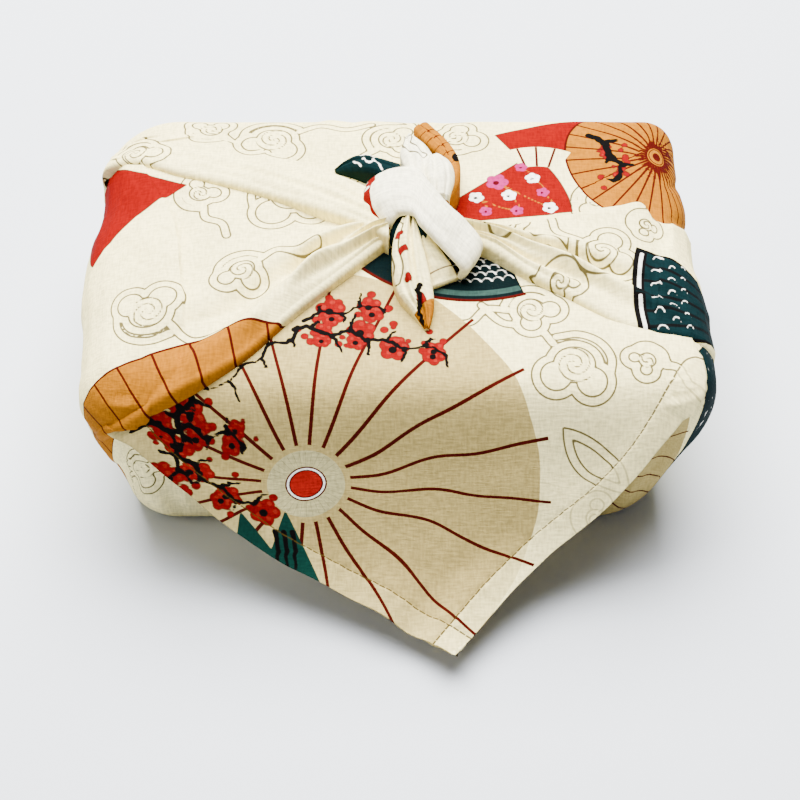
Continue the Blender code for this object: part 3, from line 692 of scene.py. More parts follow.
print("one crease on the crown:", crease_lift(1.0, np.array([0.5]), [(0.5, 0.5, 0.8, 4, 0.06)]).round(2))

# %% [markdown]
# Now the wing itself, in the order a maker would work: stretch the cloth
# between its edges, lay it over the box, raise crown and creases, keep it above
# what lies below, pull in the pleats on the end, and turn the edges under.

# %% Wing shape
OVER_LOW, OVER_HIGH = 50, 77               # heights between which the end turns into the top


def wing(back, fold, crown, creases, roll_back, roll_fold, lift_off, pleats):
    """Grid between two edges: a straight web with a crown and creases, held
    clear of bundle and flap. Its outer rows lie down over the end and dip under
    its skin, where pleats run up to it, and its long edges are rolled under."""
    nu, nv = int(240 * FINE), int(136 * FINE)
    e0, e1 = spline(back, nu), spline(fold, nu)
    across = (e1 - e0) * [1, 1, 0]
    width = np.linalg.norm(across, axis=1)[:, None]
    across /= width
    rb, rf = np.minimum(roll_back, 0.2 * width), np.minimum(roll_fold, 0.2 * width)
    u, v = np.linspace(0, 1, nu)[:, None], np.linspace(0, 1, nv)[None]
    start, stop = e0 + across * rb, e1 - across * rf
    g = start[:, None] * (1 - v[..., None]) + stop[:, None] * v[..., None]
    over = smooth(g[..., 2], OVER_LOW, OVER_HIGH)
    hold = np.interp(g[..., 2], [34.0, 50.0, 64.0, 75.0], [-1.0, 0.7, 1.2, lift_off])
    hold = hold + 1.1 * smooth(-g[..., 1], 48, 58) * smooth(g[..., 2], 48, 58)
    g = clear(g, np.where(u < 0.004, -2.0, hold))
    lift = crown * 4 * v * (1 - v) * smooth(u, 0.2, 0.65) * (1 - 0.3 * u) + crease_lift(u, v, creases)
    lift = lift + 0.5 * bumps(g[..., 0], g[..., 1], 21, 26) * smooth(v, 0, 0.1) * (1 - smooth(v, 0.9, 1))
    g[..., 2] += lift * over
    on_flap = np.where(g[..., 1] < -2, flap_height(g[..., 0], g[..., 1]) + 0.9, 0)
    below = np.maximum(body_top(g[..., 0], g[..., 1]) + 0.6, on_flap)
    g[..., 2] = np.where(g[..., 2] > 58, np.maximum(g[..., 2], below), g[..., 2])
    for v0, w, depth in pleats:
        dip = depth * np.exp(-((v - v0 - 0.10 * u) / w) ** 2) * (1 - over) * smooth(g[..., 2], 40, 52)
        g[..., 0] -= dip * np.sign(g[..., 0])
    outward = np.stack([np.sign(e0[:, 0] + e1[:, 0]), 0 * e0[:, 0], 0 * e0[:, 0]], 1)
    first = rolled_edge(g[:, 0], across, rb, outward)
    last = rolled_edge(g[:, -1], -across, rf, outward)
    surf = np.concatenate([np.stack(first, 1), g, np.stack(last[::-1], 1)], 1)
    return surf, unroll(surf[..., 0], surf[..., 1], surf[..., 2])


print("a wing lies over the bundle between", OVER_LOW, "and", OVER_HIGH, "mm")

# %% [markdown]
# Three such wings are on this wrap: the broad left one, the narrow fold behind
# it on the left, and the right one. One function with a row of creases for
# each keeps their folds alike; three separate models would drift apart.

# %% Wings
# a crease: place at the end, at the knot, reach, depth, width; a pleat: place, width, depth
LEFT_CREASES = [(0.02, 0.26, 0.34, 0.8, 0.060), (1.76, 0.36, 0.34, 4.8, 0.060),
                (1.01, 0.59, 0.78, 5.0, 0.075), (0.94, 0.84, 0.40, 1.6, 0.050)]
LEFT_PLEATS = [(0.22, 0.05, -1.2), (0.50, 0.06, -1.0), (0.76, 0.05, -0.4)]
UPPER_CREASES = [(0.30, 0.45, 0.5, 0.8, 0.08), (0.62, 0.75, 0.85, 0.7, 0.07)]
RIGHT_CREASES = [(0.04, 0.24, 0.30, 1.6, 0.060), (0.96, 0.38, 0.72, 5.2, 0.060),
                 (0.80, 0.86, 0.50, 2.2, 0.050)]
RIGHT_PLEATS = [(0.35, 0.06, -1.1), (0.66, 0.06, -1.2)]
# crown, creases, radius of the back and of the front roll, height over the top, pleats
left_wing = grid_piece("left_wing", *wing(LEFT_WING_BACK, LEFT_WING_FOLD, 2.8, LEFT_CREASES,
                                          1.0, 2.6, 2.2, LEFT_PLEATS))
left_upper = grid_piece("left_upper_fold", *wing(LEFT_UPPER_BACK, LEFT_UPPER_FOLD, 1.0, UPPER_CREASES,
                                                 1.0, 2.2, 1.4, []))
right_wing = grid_piece("right_wing", *wing(RIGHT_WING_BACK, RIGHT_WING_FOLD, 1.8, RIGHT_CREASES,
                                            2.0, 2.8, 2.2, RIGHT_PLEATS))

# %% [markdown]
# ## The knot
# The knot is a broad plain band of folded cloth that passes over the middle,
# with one tail hanging to the front and the other lying back over the top, two
# tucked ears between them, and the dark parts of the cloth that show behind.
# Each form is a table of its two edges, how far its middle stands off, and its
# half thickness.

# %% Knot tables
# one edge x, y, z, other edge x, y, z, middle stands off x, y, z, half thickness
BAND = np.array([
    [-4.0, 22.0, 83.0, -1.0,   1.0, 83.0, -5.0, 0.5, 0.0, 2.2],
    [-7.0, 24.6, 87.6, -3.6,  -1.8, 87.2, -5.6, 0.8, 0.4, 2.4],
    [-4.0, 23.2, 91.4, -2.9,  -2.2, 91.6, -4.0, 0.5, 1.8, 2.5],
    [0.2,  22.4, 93.6, -0.6,  -1.2, 94.4, -1.6, 0.2, 1.8, 2.6],
    [5.6,  20.4, 95.4,  3.8,  -2.8, 96.4,  0.0, 0.0, 1.2, 2.6],
    [10.6, 12.1, 96.4,  6.8,  -8.0, 96.8,  0.0, 0.0, 1.0, 2.4],
    [16.8,  2.7, 95.0, 11.4, -12.8, 95.0,  0.0, 0.0, 1.0, 2.2],
    [22.7, -1.2, 91.4, 16.6, -17.1, 91.4,  0.0, 0.0, 1.0, 2.0],
    [28.0, -6.6, 86.4, 21.4, -20.6, 86.4,  0.8, -0.6, 0.4, 1.9],
    [27.2, -6.2, 81.6, 20.6, -19.8, 81.6,  0.0, 0.0, 0.0, 1.6],
])
LOWER_TAIL = np.array([
    [0.6,   -1.0, 91.6,  6.0,  -2.0, 91.6, 0.0, 0.0, 0.6, 2.4],
    [-1.4,  -6.0, 91.0,  7.2,  -8.0, 91.0, 0.0, 0.0, 0.8, 2.6],
    [-2.7, -13.0, 89.6,  8.6, -14.4, 89.6, 0.0, 0.0, 0.9, 2.6],
    [-2.4, -21.8, 86.6, 10.4, -22.3, 86.6, 0.0, 0.0, 1.0, 2.4],
    [-0.8, -28.2, 84.0, 11.6, -29.6, 84.0, 0.0, 0.0, 1.0, 2.2],
    [4.4,  -35.6, 81.6, 11.4, -35.8, 81.6, 0.0, 0.0, 0.6, 1.8],
    [8.4,  -41.4, 80.4, 10.0, -41.6, 80.4, 0.0, 0.0, 0.0, 1.2],
])
UPPER_TAIL = np.array([
    [5.0,  52.0, 84.6, 10.4, 54.8, 84.6, 0.0, 0.0, 0.4, 1.4],
    [8.7,  43.7, 86.0, 14.9, 47.4, 86.0, 0.0, 0.0, 0.8, 1.8],
    [13.4, 35.9, 87.4, 18.8, 39.5, 87.4, 0.0, 0.0, 0.8, 2.0],
    [16.4, 29.2, 88.6, 21.2, 32.0, 88.6, 0.0, 0.0, 0.8, 2.0],
    [15.6, 18.0, 89.4, 21.2, 20.0, 89.4, 0.0, 0.0, 0.6, 2.0],
    [9.0,   6.0, 88.0, 16.0,  8.0, 88.0, 0.0, 0.0, 0.0, 2.0],
])
LEFT_EAR = np.array([
    [1.6, 45.0, 85.0,  5.0, 47.6, 85.0, 0.0, 0.0, 0.6, 1.6],
    [0.0, 35.5, 88.0, 10.0, 38.4, 88.0, 0.0, 0.0, 1.4, 2.2],
    [1.8, 25.2, 90.4, 12.6, 28.2, 90.4, 0.0, 0.0, 1.6, 2.4],
    [4.0, 12.0, 90.4, 13.0, 15.0, 90.4, 0.0, 0.0, 0.8, 2.4],
])
RIGHT_EAR = np.array([
    [9.6,  31.2, 89.6, 14.4, 32.6, 89.6, 0.0, 0.0, 0.6, 1.8],
    [8.2,  24.6, 91.4, 18.4, 26.4, 91.4, 0.0, 0.0, 2.2, 2.2],
    [9.0,  17.6, 92.2, 19.4, 18.8, 92.2, 0.0, 0.0, 2.4, 2.2],
    [11.0, 10.0, 91.2, 17.4, 10.6, 91.2, 0.0, 0.0, 1.0, 2.0],
])
BACK_LEAF = np.array([
    [0.0,   32.0, 86.0,  1.0,  20.0, 86.0, 0.0, 0.0, 0.8, 2.0],
    [-8.3,  35.9, 85.6, -6.8,  26.2, 85.6, 0.0, 0.0, 1.2, 1.8],
    [-13.8, 39.2, 84.0, -11.9, 29.6, 84.0, 0.0, 0.0, 1.2, 1.6],
    [-20.0, 38.6, 81.4, -17.4, 32.8, 81.4, 0.0, 0.0, 0.8, 1.2],
    [-23.8, 36.4, 79.6, -23.0, 35.0, 79.6, 0.0, 0.0, 0.0, 0.8],
])
SIDE_FACET = np.array([
    [4.0,   -2.0, 90.6, 12.0,  -2.0, 90.6, 0.0, 0.0, 0.4, 1.8],
    [7.0,   -9.0, 89.0, 13.4, -10.0, 89.0, 0.0, 0.0, 0.5, 1.8],
    [9.0,  -16.0, 85.6, 17.4, -15.4, 85.6, 0.0, 0.0, 0.5, 1.6],
    [10.6, -23.4, 81.4, 20.4, -18.6, 81.4, 0.0, 0.0, 0.4, 1.2],
])
print("band", len(BAND), "sections, lower tail", len(LOWER_TAIL), "sections")

# %% [markdown]
# A knot form is a flattened loop carried along its middle line, with folds
# pressed into its upper face. A bevelled curve could not change its width and
# keep a flat section at once. The dark heart of the knot is a plain ellipsoid,
# because only small patches of it show between the other forms.

# %% Ribbon and ball
OTHER_FACE = 30                            # mm, keeps the print off the underside


def ribbon(table, count, around, foot, power, folds, ripple, seed):
    """Flattened loop between two edges, its middle stood off: the cosine of one
    turn, raised to a power, goes across and the sine goes through. A fold is a
    groove with a ridge beside it at a place from -1 to 1 across the upper face;
    with a foot, the underside reaches down to that height."""
    t = spline(table, count)
    one, two, off, half_t = t[:, 0:3], t[:, 3:6], t[:, 6:9], t[:, 9:10]
    wide, middle = (one - two) / 2, (one + two) / 2
    normal = np.cross(wide, np.gradient(middle, axis=0))
    normal /= np.linalg.norm(normal, axis=1)[:, None]
    up = np.cross(table[1, 0:3] - table[1, 3:6], table[2, 0:3] - table[1, 0:3])[2]
    normal *= np.sign(up) or 1.0
    ang = np.linspace(0, 2 * np.pi, around + 1)[None]
    cw = np.sign(np.cos(ang)) * np.abs(np.cos(ang)) ** power
    ct = np.sign(np.sin(ang)) * np.abs(np.sin(ang)) ** power
    run = np.linspace(0, 1, count)[:, None]
    half_w = np.linalg.norm(wide, axis=1)[:, None]
    lift = np.zeros((count, around + 1))
    for place, bend, depth, w in folds:
        x = (cw - place - bend * (run - 0.5)) / w
        lift += depth * (0.5 * np.exp(-((x - 1.7) / 1.2) ** 2) - np.exp(-x ** 2)) * np.clip(ct, 0, 1)
    lift += ripple * bumps(run * 40, cw * half_w, seed, 9) * np.clip(ct, 0, 1)
    g = (middle[:, None] + wide[:, None] * cw[..., None] + off[:, None] * (1 - cw ** 2)[..., None]
         + normal[:, None] * (half_t * ct + lift)[..., None])
    if foot is not None:
        under = np.broadcast_to(ct < -0.05, lift.shape)
        g[..., 2] = np.where(under, np.minimum(g[..., 2] - 1.5, foot), g[..., 2])
    length = np.r_[0, np.cumsum(np.linalg.norm(np.diff(middle, axis=0), axis=1))][:, None]
    flat = np.stack([np.broadcast_to(length, lift.shape), half_w * cw + OTHER_FACE * (ct < -0.02)], -1)
    return g, flat


def ball(centre, radii, tiers, around):
    """Ellipsoid of rings: the cosine and sine of two angles, times three radii.
    Its flat coordinates are the two angles in mm."""
    phi = np.radians(np.linspace(-88, 88, tiers))[:, None]
    ang = np.linspace(0, 2 * np.pi, around + 1)[None]
    g = np.stack([np.cos(phi) * np.cos(ang), np.cos(phi) * np.sin(ang), np.sin(phi) + 0 * ang], -1)
    g = g * np.array(radii) + np.array(centre)
    return g, np.stack([ang * radii[0] + 0 * phi, phi * radii[2] + 0 * ang], -1)


print("points of a small ball:", ball((0, 0, 0), (1, 1, 1), 5, 8)[0].shape)

# %% [markdown]
# The forms enter one another where the real cloth goes on into the knot. Each
# one's underside reaches down into the cloth below it, so nothing floats.

# %% Knot pieces
# name, table, height of the underside, squareness of the section, and the folds:
# place across, lean along, depth, width
FORMS = [
    ("knot_band", BAND, None, 0.6, [(0.55, 0.2, 0.45, 0.10), (-0.6, 0.3, 0.3, 0.12)]),
    ("lower_tail", LOWER_TAIL, 76.0, 0.8, [(-0.08, 0.25, 2.6, 0.15), (0.55, -0.2, 0.7, 0.12),
                                           (-0.6, 0.1, 0.5, 0.12)]),
    ("side_facet", SIDE_FACET, 76.2, 0.6, [(0.3, 0.1, 0.4, 0.15)]),
    ("upper_tail", UPPER_TAIL, 76.4, 0.7, [(0.2, 0.2, 0.5, 0.12)]),
    ("left_ear", LEFT_EAR, 76.6, 0.75, [(-0.3, 0.6, 1.1, 0.16), (0.45, 0.2, 0.7, 0.12)]),
    ("right_ear", RIGHT_EAR, 76.8, 0.75, [(0.3, 0.5, 1.0, 0.16), (-0.4, -0.3, 0.6, 0.12)]),
    ("back_leaf", BACK_LEAF, 77.0, 0.7, [(0.2, 0.2, 0.6, 0.15)])]
RIPPLE = 0.16                              # mm
HEART, HEART_RADII = (9.0, 1.0, 84.0), (13.5, 13.5, 10.5)
knot = {}
for name, table, foot, power, folds in FORMS:
    form, flat = ribbon(table, int(90 * FINE), int(84 * FINE), foot, power, folds, RIPPLE, len(name))
    knot[name] = grid_piece(name, form, flat, cap=True)
form, flat = ball(HEART, HEART_RADII, int(50 * FINE), int(80 * FINE))
knot["knot_heart"] = grid_piece("knot_heart", form, flat, cap=True)

# %% [markdown]
# ## Printed shapes
# The print is made of plain shapes: discs, polygons, thick lines and their
# unions. Each is a signed distance in mm, negative inside, worked out for all
# the points of a piece at once; the smallest of several is their union. The
# material later inks a field where it is negative, or draws a line where it is
# nearly zero. Painting on an image would fix one resolution; distances do not.

# %% Distances
NO_INK = 20.0                              # mm, the distance kept where a shape is far away


def disc(p, c, r):
    """Distance to a circle."""
    return np.hypot(p[:, 0] - c[0], p[:, 1] - c[1]) - r


def nearby(p, pts, reach):
    """Which points lie in the box round a shape; only those are worked out."""
    return np.all((p > pts.min(axis=0) - reach) & (p < pts.max(axis=0) + reach), axis=1)


def polygon(points, pts):
    """Distance to the nearest edge, negative if a ray crosses edges oddly."""
    pts = np.asarray(pts, float)
    out, box = np.full(len(points), NO_INK), nearby(points, pts, 4.0)
    p = points[box]
    best, inside = np.full(len(p), 1e9), np.zeros(len(p), bool)
    for a, b in zip(pts, np.roll(pts, -1, axis=0)):
        e, w = b - a, p - a
        t = np.clip((w @ e) / (e @ e), 0, 1)
        best = np.minimum(best, np.hypot(*(w - t[:, None] * e).T))
        if a[1] != b[1]:
            cross = (a[1] <= p[:, 1]) != (b[1] <= p[:, 1])
            inside ^= cross & (p[:, 0] < a[0] + (p[:, 1] - a[1]) * e[0] / e[1])
    out[box] = np.where(inside, -best, best)
    return out


def add(fields, key, value):
    """Union of a shape with what a named field already holds."""
    fields[key] = np.minimum(fields.get(key, NO_INK), value)


print("inside a square:", polygon(np.array([[1.0, 1.0]]), [(0, 0), (2, 0), (2, 2), (0, 2)]))

# %% [markdown]
# A brush stroke is a chain of short tapered lines along a spline. With a seed
# it wanders a little, as if drawn by hand, and always in the same way.

# %% Brush stroke
def stroke(points, pts, r0, r1, seed=None):
    """Distance to a brush stroke through points, its half width going from r0
    to r1; with a seed the stroke wanders a little, as drawn with a brush."""
    t = np.c_[np.asarray(pts, float), np.zeros(len(pts))]
    pts = spline(t, 5 * len(t))[:, :2]
    rad = np.linspace(r0, r1, len(pts))
    if seed is not None:
        rng = np.random.default_rng(seed)
        pts = pts + rng.normal(0, 0.3, pts.shape)
        rad = rad * rng.uniform(0.8, 1.3, len(pts))
    out, box = np.full(len(points), NO_INK), nearby(points, pts, 4.0 + rad.max())
    p, best = points[box], np.full(box.sum(), NO_INK)
    for a, b, ra, rb in zip(pts[:-1], pts[1:], rad[:-1], rad[1:]):
        e, w = b - a, p - a
        t = np.clip((w @ e) / max(e @ e, 1e-9), 0, 1)
        best = np.minimum(best, np.hypot(*(w - t[:, None] * e).T) - ra - (rb - ra) * t)
    out[box] = best
    return out


print("on a stroke 2 mm wide:", stroke(np.array([[5.0, 0.0]]), [(0, 0), (5, 0), (10, 0)], 1, 1).round(2))

# %% [markdown]
# ## Blossoms and clouds
# Plum blossoms and drawn clouds are old motifs of printed cotton. Both are
# built from discs: five petals round a middle, or a scalloped outline with a
# spiral in its biggest round. A curve drawn point by point would look no
# better and could not be turned or resized by one number.

# %% Blossoms and clouds
def blossom(fields, p, c, r, turn=0.0, petals="bloom", core="ink"):
    """Plum blossom: five round petals about a middle and a dark heart; blush is
    the lighter part of each petal."""
    d, pale = disc(p, c, 0.45 * r), np.full(len(p), NO_INK)
    for a in turn + np.arange(5) * 2 * np.pi / 5:
        q = (c[0] + 0.56 * r * np.cos(a), c[1] + 0.56 * r * np.sin(a))
        d = np.minimum(d, disc(p, q, 0.43 * r))
        pale = np.minimum(pale, disc(p, (q[0] + 0.1 * r, q[1] + 0.08 * r), 0.17 * r))
    add(fields, petals, d)
    if petals == "bloom":
        add(fields, "blush", pale)
    if core:
        add(fields, core, disc(p, (c[0] - 0.08 * r, c[1] - 0.12 * r), 0.27 * r))


def clouds(fields, p, rows):
    """Clouds, a row (x, y, radius, turn, hand) for each: the union of a big
    round and two smaller ones, an echo line round its back, a tail that runs
    off, and a spiral in the big round, which is a sine of radius less angle."""
    for x, y, r, turn, hand in rows:
        k, s = r * np.cos(turn), r * np.sin(turn)

        def put(a, b):
            """Point given along and across the cloud, in radii of its big round."""
            return x + k * hand * a - s * b, y + s * hand * a + k * b

        rounds = [((x, y), r), (put(0.95, -0.35), 0.78 * r), (put(-0.4, -0.8), 0.8 * r)]
        echo = [put(1.5 * np.cos(a), 1.5 * np.sin(a)) for a in np.radians((5, 40, 75, 110, 145))]
        tail = [put(-1.2, 0.5), put(-2.2, 1.0), put(-3.4, 0.5), put(-4.6, 0.9)]
        add(fields, "cloud", np.minimum.reduce([disc(p, c, radius) for c, radius in rounds]))
        for pts in (echo, tail):
            add(fields, "cloud", stroke(p, pts, 0.0, 0.0))
        rho, theta = np.hypot(p[:, 0] - x, p[:, 1] - y), np.arctan2(p[:, 1] - y, p[:, 0] - x) * hand
        pitch = 2.6 + 0.35 * r
        wind = pitch / (2 * np.pi) * np.sin(2 * np.pi * rho / pitch - theta + turn + 1.0)
        add(fields, "swirl", np.maximum(np.abs(wind), rho - (r - 1.5)))


trial = {}
blossom(trial, np.zeros((1, 2)), (0, 0), 4.0)
print("a blossom fills", list(trial))

# %% [markdown]
# ## Fans and waves
# A folding fan is part of a ring, with ribs from its hub, and small wave arcs
# in rows. The ribs are one field that swings through zero at each rib, so they
# stay unbroken lines however coarse the grid is.

# %% Fans and waves
def sector(p, hub, r0, r1, a0, a1):
    """Part of a ring between two radii and, in degrees, two angles: the largest
    of the distances past its arcs and past its nearer side."""
    w = p - np.asarray(hub)
    rho, middle = np.hypot(*w.T), np.radians((a0 + a1) / 2)
    off = np.abs(np.angle(np.exp(1j * (np.arctan2(w[:, 1], w[:, 0]) - middle))))
    side = rho * np.sin(np.clip(off - np.radians((a1 - a0) / 2), -np.pi / 2, np.pi / 2))
    return np.maximum.reduce([rho - r1, r0 - rho, side])


def polar(hub, r, a):
    """Point at a radius and an angle in degrees from a hub."""
    return hub[0] + r * np.cos(np.radians(a)), hub[1] + r * np.sin(np.radians(a))


def add_ribs(fields, f, reach):
    """Take over rib field f, zero along each rib, where reach says its own
    ribs are nearer than those already there."""
    nearer = reach < fields.get("rib_reach", NO_INK)
    fields["rib"] = np.where(nearer, f, fields.get("rib", NO_INK))
    add(fields, "rib_reach", reach)


def fan(fields, p, hub, r0, r1, a0, a1, ribs, fill):
    """Folding fan: a sector, and a rib field that is the sine of the angle,
    zero at each rib, scaled to mm."""
    w = p - np.asarray(hub)
    number = (np.degrees(np.arctan2(w[:, 1], w[:, 0])) % 360 - a0) / (a1 - a0) * (ribs + 1)
    f = np.hypot(*w.T) * np.sin(np.pi * number) * np.radians((a1 - a0) / (ribs + 1)) / np.pi
    reach = sector(p, hub, r0, r1, a0, a1)
    add_ribs(fields, f, reach)
    add(fields, fill, reach)


def waves(fields, p, hub, radii, a0, a1, step):
    """Rows of small white arcs on a fan, every other row shifted by half a step."""
    for row, r in enumerate(radii):
        for a in np.arange(a0 + 0.5 * step * (row % 2), a1, step):
            middle = polar(hub, r, a)
            add(fields, "white", stroke(p, [polar(middle, 1.8, t) for t in (10, 65, 120, 175)], 0.28, 0.2))


print("a place on a fan:", sector(np.array([[10.0, 0.0]]), (0, 0), 5, 15, -20, 20).round(2))

# %% [markdown]
# ## Plum branches
# A branch grows in short steps that turn to either side, with a twig, buds and
# a blossom at each, from a seeded random rule. So no two branches are alike,
# none has to be drawn, and every run gives the same ones.

# %% Branches and leaves
BRANCH_STEP = 7                            # mm


def plum(fields, p, start, heading, length, width, seed, bloom):
    """Plum branch: a stroke that zigzags in even steps, with a twig, some
    buds and, where bloom gives a radius, a blossom at each step."""
    rng = np.random.default_rng(seed)
    steps = int(length / BRANCH_STEP)
    turn = heading + rng.uniform(8, 34, steps) * (-1.0) ** np.arange(steps)
    pts = [np.asarray(start, float)]
    for a in turn:
        pts.append(pts[-1] + BRANCH_STEP * np.array([np.cos(np.radians(a)), np.sin(np.radians(a))]))
    add(fields, "ink", stroke(p, pts, width, 0.45 * width, seed=seed))
    for k, (a, q) in enumerate(zip(turn, pts[1:])):
        out = a + rng.uniform(35, 70) * (-1) ** k
        tip = polar(q, rng.uniform(3, 8), out)
        add(fields, "ink", stroke(p, [q, polar(q, 2, out + 12), tip], 0.7 * width, 0.35, seed=seed + k))
        for _ in range(3 if bloom else 0):
            bud = polar(q, rng.uniform(3, 8), rng.uniform(0, 360))
            add(fields, "bloom", disc(p, bud, rng.uniform(0.8, 1.6)))
        if bloom:
            blossom(fields, p, polar(q, 0.8 * bloom, out - 80), bloom * rng.uniform(0.65, 1.25), a)


def leaf(p, c, length, width, turn):
    """Pointed leaf: what two equal discs have in common."""
    r = (length ** 2 + width ** 2) / (4 * width)
    sides = [disc(p, polar(c, r - width / 2, turn + way), r) for way in (90, -90)]
    return np.maximum(*sides)


print("middle of a leaf 10 mm wide:", leaf(np.zeros((1, 2)), (0, 0), 30, 10, 0).round(1))

# %% [markdown]
# ## Paper umbrellas
# Seen from above an umbrella is a disc with ribs from its hub. The ribs of the
# big one bend a little, so that they look drawn by hand and not ruled: each
# has one angle at the hub and another at the rim.

# %% Umbrellas
def even_ribs(count, first=0.0):
    """Ribs at equal angles: a row holds the angle at the hub and at the rim."""
    a = first - 180.0 + np.arange(count) * 360.0 / count
    return np.stack([a, a], 1)


def parasol(fields, p, c, radius, ribs, start, wave=0.0):
    """Paper umbrella from above: an even number of ribs between start and the
    rim, a field that is the sine of the rib number, zero along each rib.
    Returns the distance from the hub."""
    w = p - np.asarray(c)
    rho, theta = np.hypot(*w.T), np.arctan2(w[:, 1], w[:, 0])
    turn = np.radians(np.r_[ribs[-2:] - 360, ribs, ribs[:2] + 360])
    # the ribs on the right swing a little one way near the hub, the other way further out
    push = 1.5 * np.exp(-((rho - 27) / 8) ** 2) - 2.2 * np.exp(-((rho - 45) / 10) ** 2)
    bend = wave * push / (rho + 1) * (0.06 + 0.94 * np.clip(np.cos(theta + 0.22), 0, 1) ** 5)
    aim = theta + bend - np.interp(theta, turn[:, 0], turn[:, 1] - turn[:, 0]) * smooth(rho, 15, 55)
    number = np.interp(aim, turn[:, 0], np.arange(len(turn)))
    f = rho * np.sin(np.pi * number) * np.interp(aim, turn[:, 0], np.gradient(turn[:, 0])) / np.pi
    add_ribs(fields, f, np.maximum(start - rho, rho - radius))
    return rho


print("first ribs of an umbrella of 24:", even_ribs(24)[:3, 0], "degrees")

# %% [markdown]
# ## From the cloth to the print and back
# A piece's points carry their place on the flat cloth. It is read back for
# each piece, the shapes are worked out there, and the distances go into
# attributes of the same points, which the material reads.

# %% Reading and storing
def cloth_points(ob):
    """The cloth coordinates of a piece's points, in mm."""
    out = np.empty((2, len(ob.data.vertices)), np.float32)
    for k, key in enumerate(("cu", "cv")):
        ob.data.attributes[key].data.foreach_get("value", out[k])
    return out.T.astype(float)


def ink(ob, fields):
    """Keep the named fields on a piece's points, limited to 20 mm either way."""
    count = len(ob.data.vertices)
    store(ob.data, {key: np.clip(np.broadcast_to(value, count), -NO_INK, NO_INK)
                    for key, value in fields.items()})
    print(f"{ob.name}: {len(fields)} printed fields")


print("flap, first point on the flat cloth:", cloth_points(flap)[0].round(1))

# %% [markdown]
# ## The flap's print
# A big paper umbrella fills the flap, its hub low on the left, with plum
# branches in blossom over it. Positions are cloth coordinates: x across, and
# the distance below the top's front edge downwards. The umbrella's darker
# paper has a slightly wavy rim, one wave to each rib.

# %% Flap print, umbrella and branches
HUB, RIM_OF_RIBS, RIM_OF_PAPER = (-32.2, -36.0), 84.5, 80.6
number = np.arange(20)
at_hub = 18 * number - 168.0 + 1.5 * np.sin(5.0 * number)
RIBS = np.stack([at_hub, at_hub + 2.8 * np.cos(3.0 * number)], 1)
# start, heading in degrees, length, half width, seed and blossom radius
BRANCHES = [((-37, 22), -12, 56, 0.9, 3, 4.7), ((-33, 25), 14, 28, 0.7, 16, 4.4),
            ((-35, 23), 222, 42, 0.7, 5, 0), ((-72, 0), 258, 49, 1.1, 7, 4.9),
            ((-91, -17), -6, 42, 1.0, 9, 4.2), ((-77, -26), -36, 35, 1.0, 12, 5.4)]
p, fields = cloth_points(flap), {}
fields["hub"] = parasol(fields, p, HUB, RIM_OF_RIBS, RIBS, 15.4, wave=1.0)
panel = np.arctan2(p[:, 1] - HUB[1], p[:, 0] - HUB[0]) * len(RIBS) / (2 * np.pi)
scallop = 0.9 * np.abs(np.mod(panel, 1) - 0.5)
fields["shade"] = fields["hub"] - RIM_OF_PAPER - 3.4 * smooth(panel, 2.2, 3.4) + scallop
for row in BRANCHES:
    plum(fields, p, *row)
print("umbrella of", len(RIBS), "ribs and", len(BRANCHES), "branches")

# %% [markdown]
# Under the knot lies the corner of a dark green fan with a lighter border and
# white waves, to the right are clouds and a leaf on the plain ground, and
# below the hub a pair of green leaves with dark veins. The fan's green is inked
# darker than the teal elsewhere: partly its own dark print, partly painted
# shade where the knot overhangs it.

# %% Flap print, fan and clouds
WAVE_HUB = (25, 90.6)
GREEN_LEAVES = [[(-55, -48), (-57, -61), (-34, -74)], [(-39.5, -46.5), (-25, -79), (-46, -66)]]
FLAP_CLOUDS = [(45.4, 30.1, 6.4, 0.4, 1), (59.2, 6.4, 8.6, -0.5, 1), (67.6, -50, 5.0, 1.9, 1),
               (17.6, -98.6, 3.6, 2.6, -1), (84, 8, 4.4, -0.6, -1)]
for corners in GREEN_LEAVES:
    add(fields, "jade", polygon(p, corners))
for x in (-43, -40, -37):
    add(fields, "ink", stroke(p, [(x, -55), (x + 1, -68)], 0.8, 0.5, seed=31))
add(fields, "teal", sector(p, WAVE_HUB, 0, 56, 210, 289))
add(fields, "band", sector(p, WAVE_HUB, 51.8, 54.2, 243, 288.4))
add(fields, "redline", sector(p, WAVE_HUB, 55.6, 56.9, 210, 289.5))
waves(fields, p, WAVE_HUB, (48, 45, 42, 39), 258, 289, 4.6)
clouds(fields, p, FLAP_CLOUDS)
add(fields, "cloud", leaf(p, (67, -28), 30, 10, -48))
ink(flap, fields)

# %% [markdown]
# ## The wings' print
# The wings and the bundle share one unrolled plan, so that a shape that runs
# from a wing over the bundle's end stays whole: a red fan and a golden fan
# with its ribs on the left, and a dark green fan on the right. One function
# draws all three on whatever piece it is given.

# %% Wings' print
RED_FAN, GOLD_FAN, GREEN_HUB = (-77, 29), (-20, -212), (175, -26)


def shared(fields, p, gold_from):
    """Red, golden and dark green fans that run from a wing over the bundle."""
    add(fields, "red", sector(p, RED_FAN, 0, 52, 158, 222))
    fan(fields, p, GOLD_FAN, gold_from, 172, 94, 139, 9, "gold")
    fan(fields, p, GREEN_HUB, 30, 94, 166.5, 193.5, 5, "teal")
    waves(fields, p, GREEN_HUB, (86, 80, 74), 168, 192, 4.4)
    for a in (167, 180.6):
        add(fields, "inkline", sector(p, GREEN_HUB, 90.2, 94, a, a + 12.4))
        add(fields, "white", sector(p, GREEN_HUB, 91.3, 92.6, a + 0.5, a + 11.9))


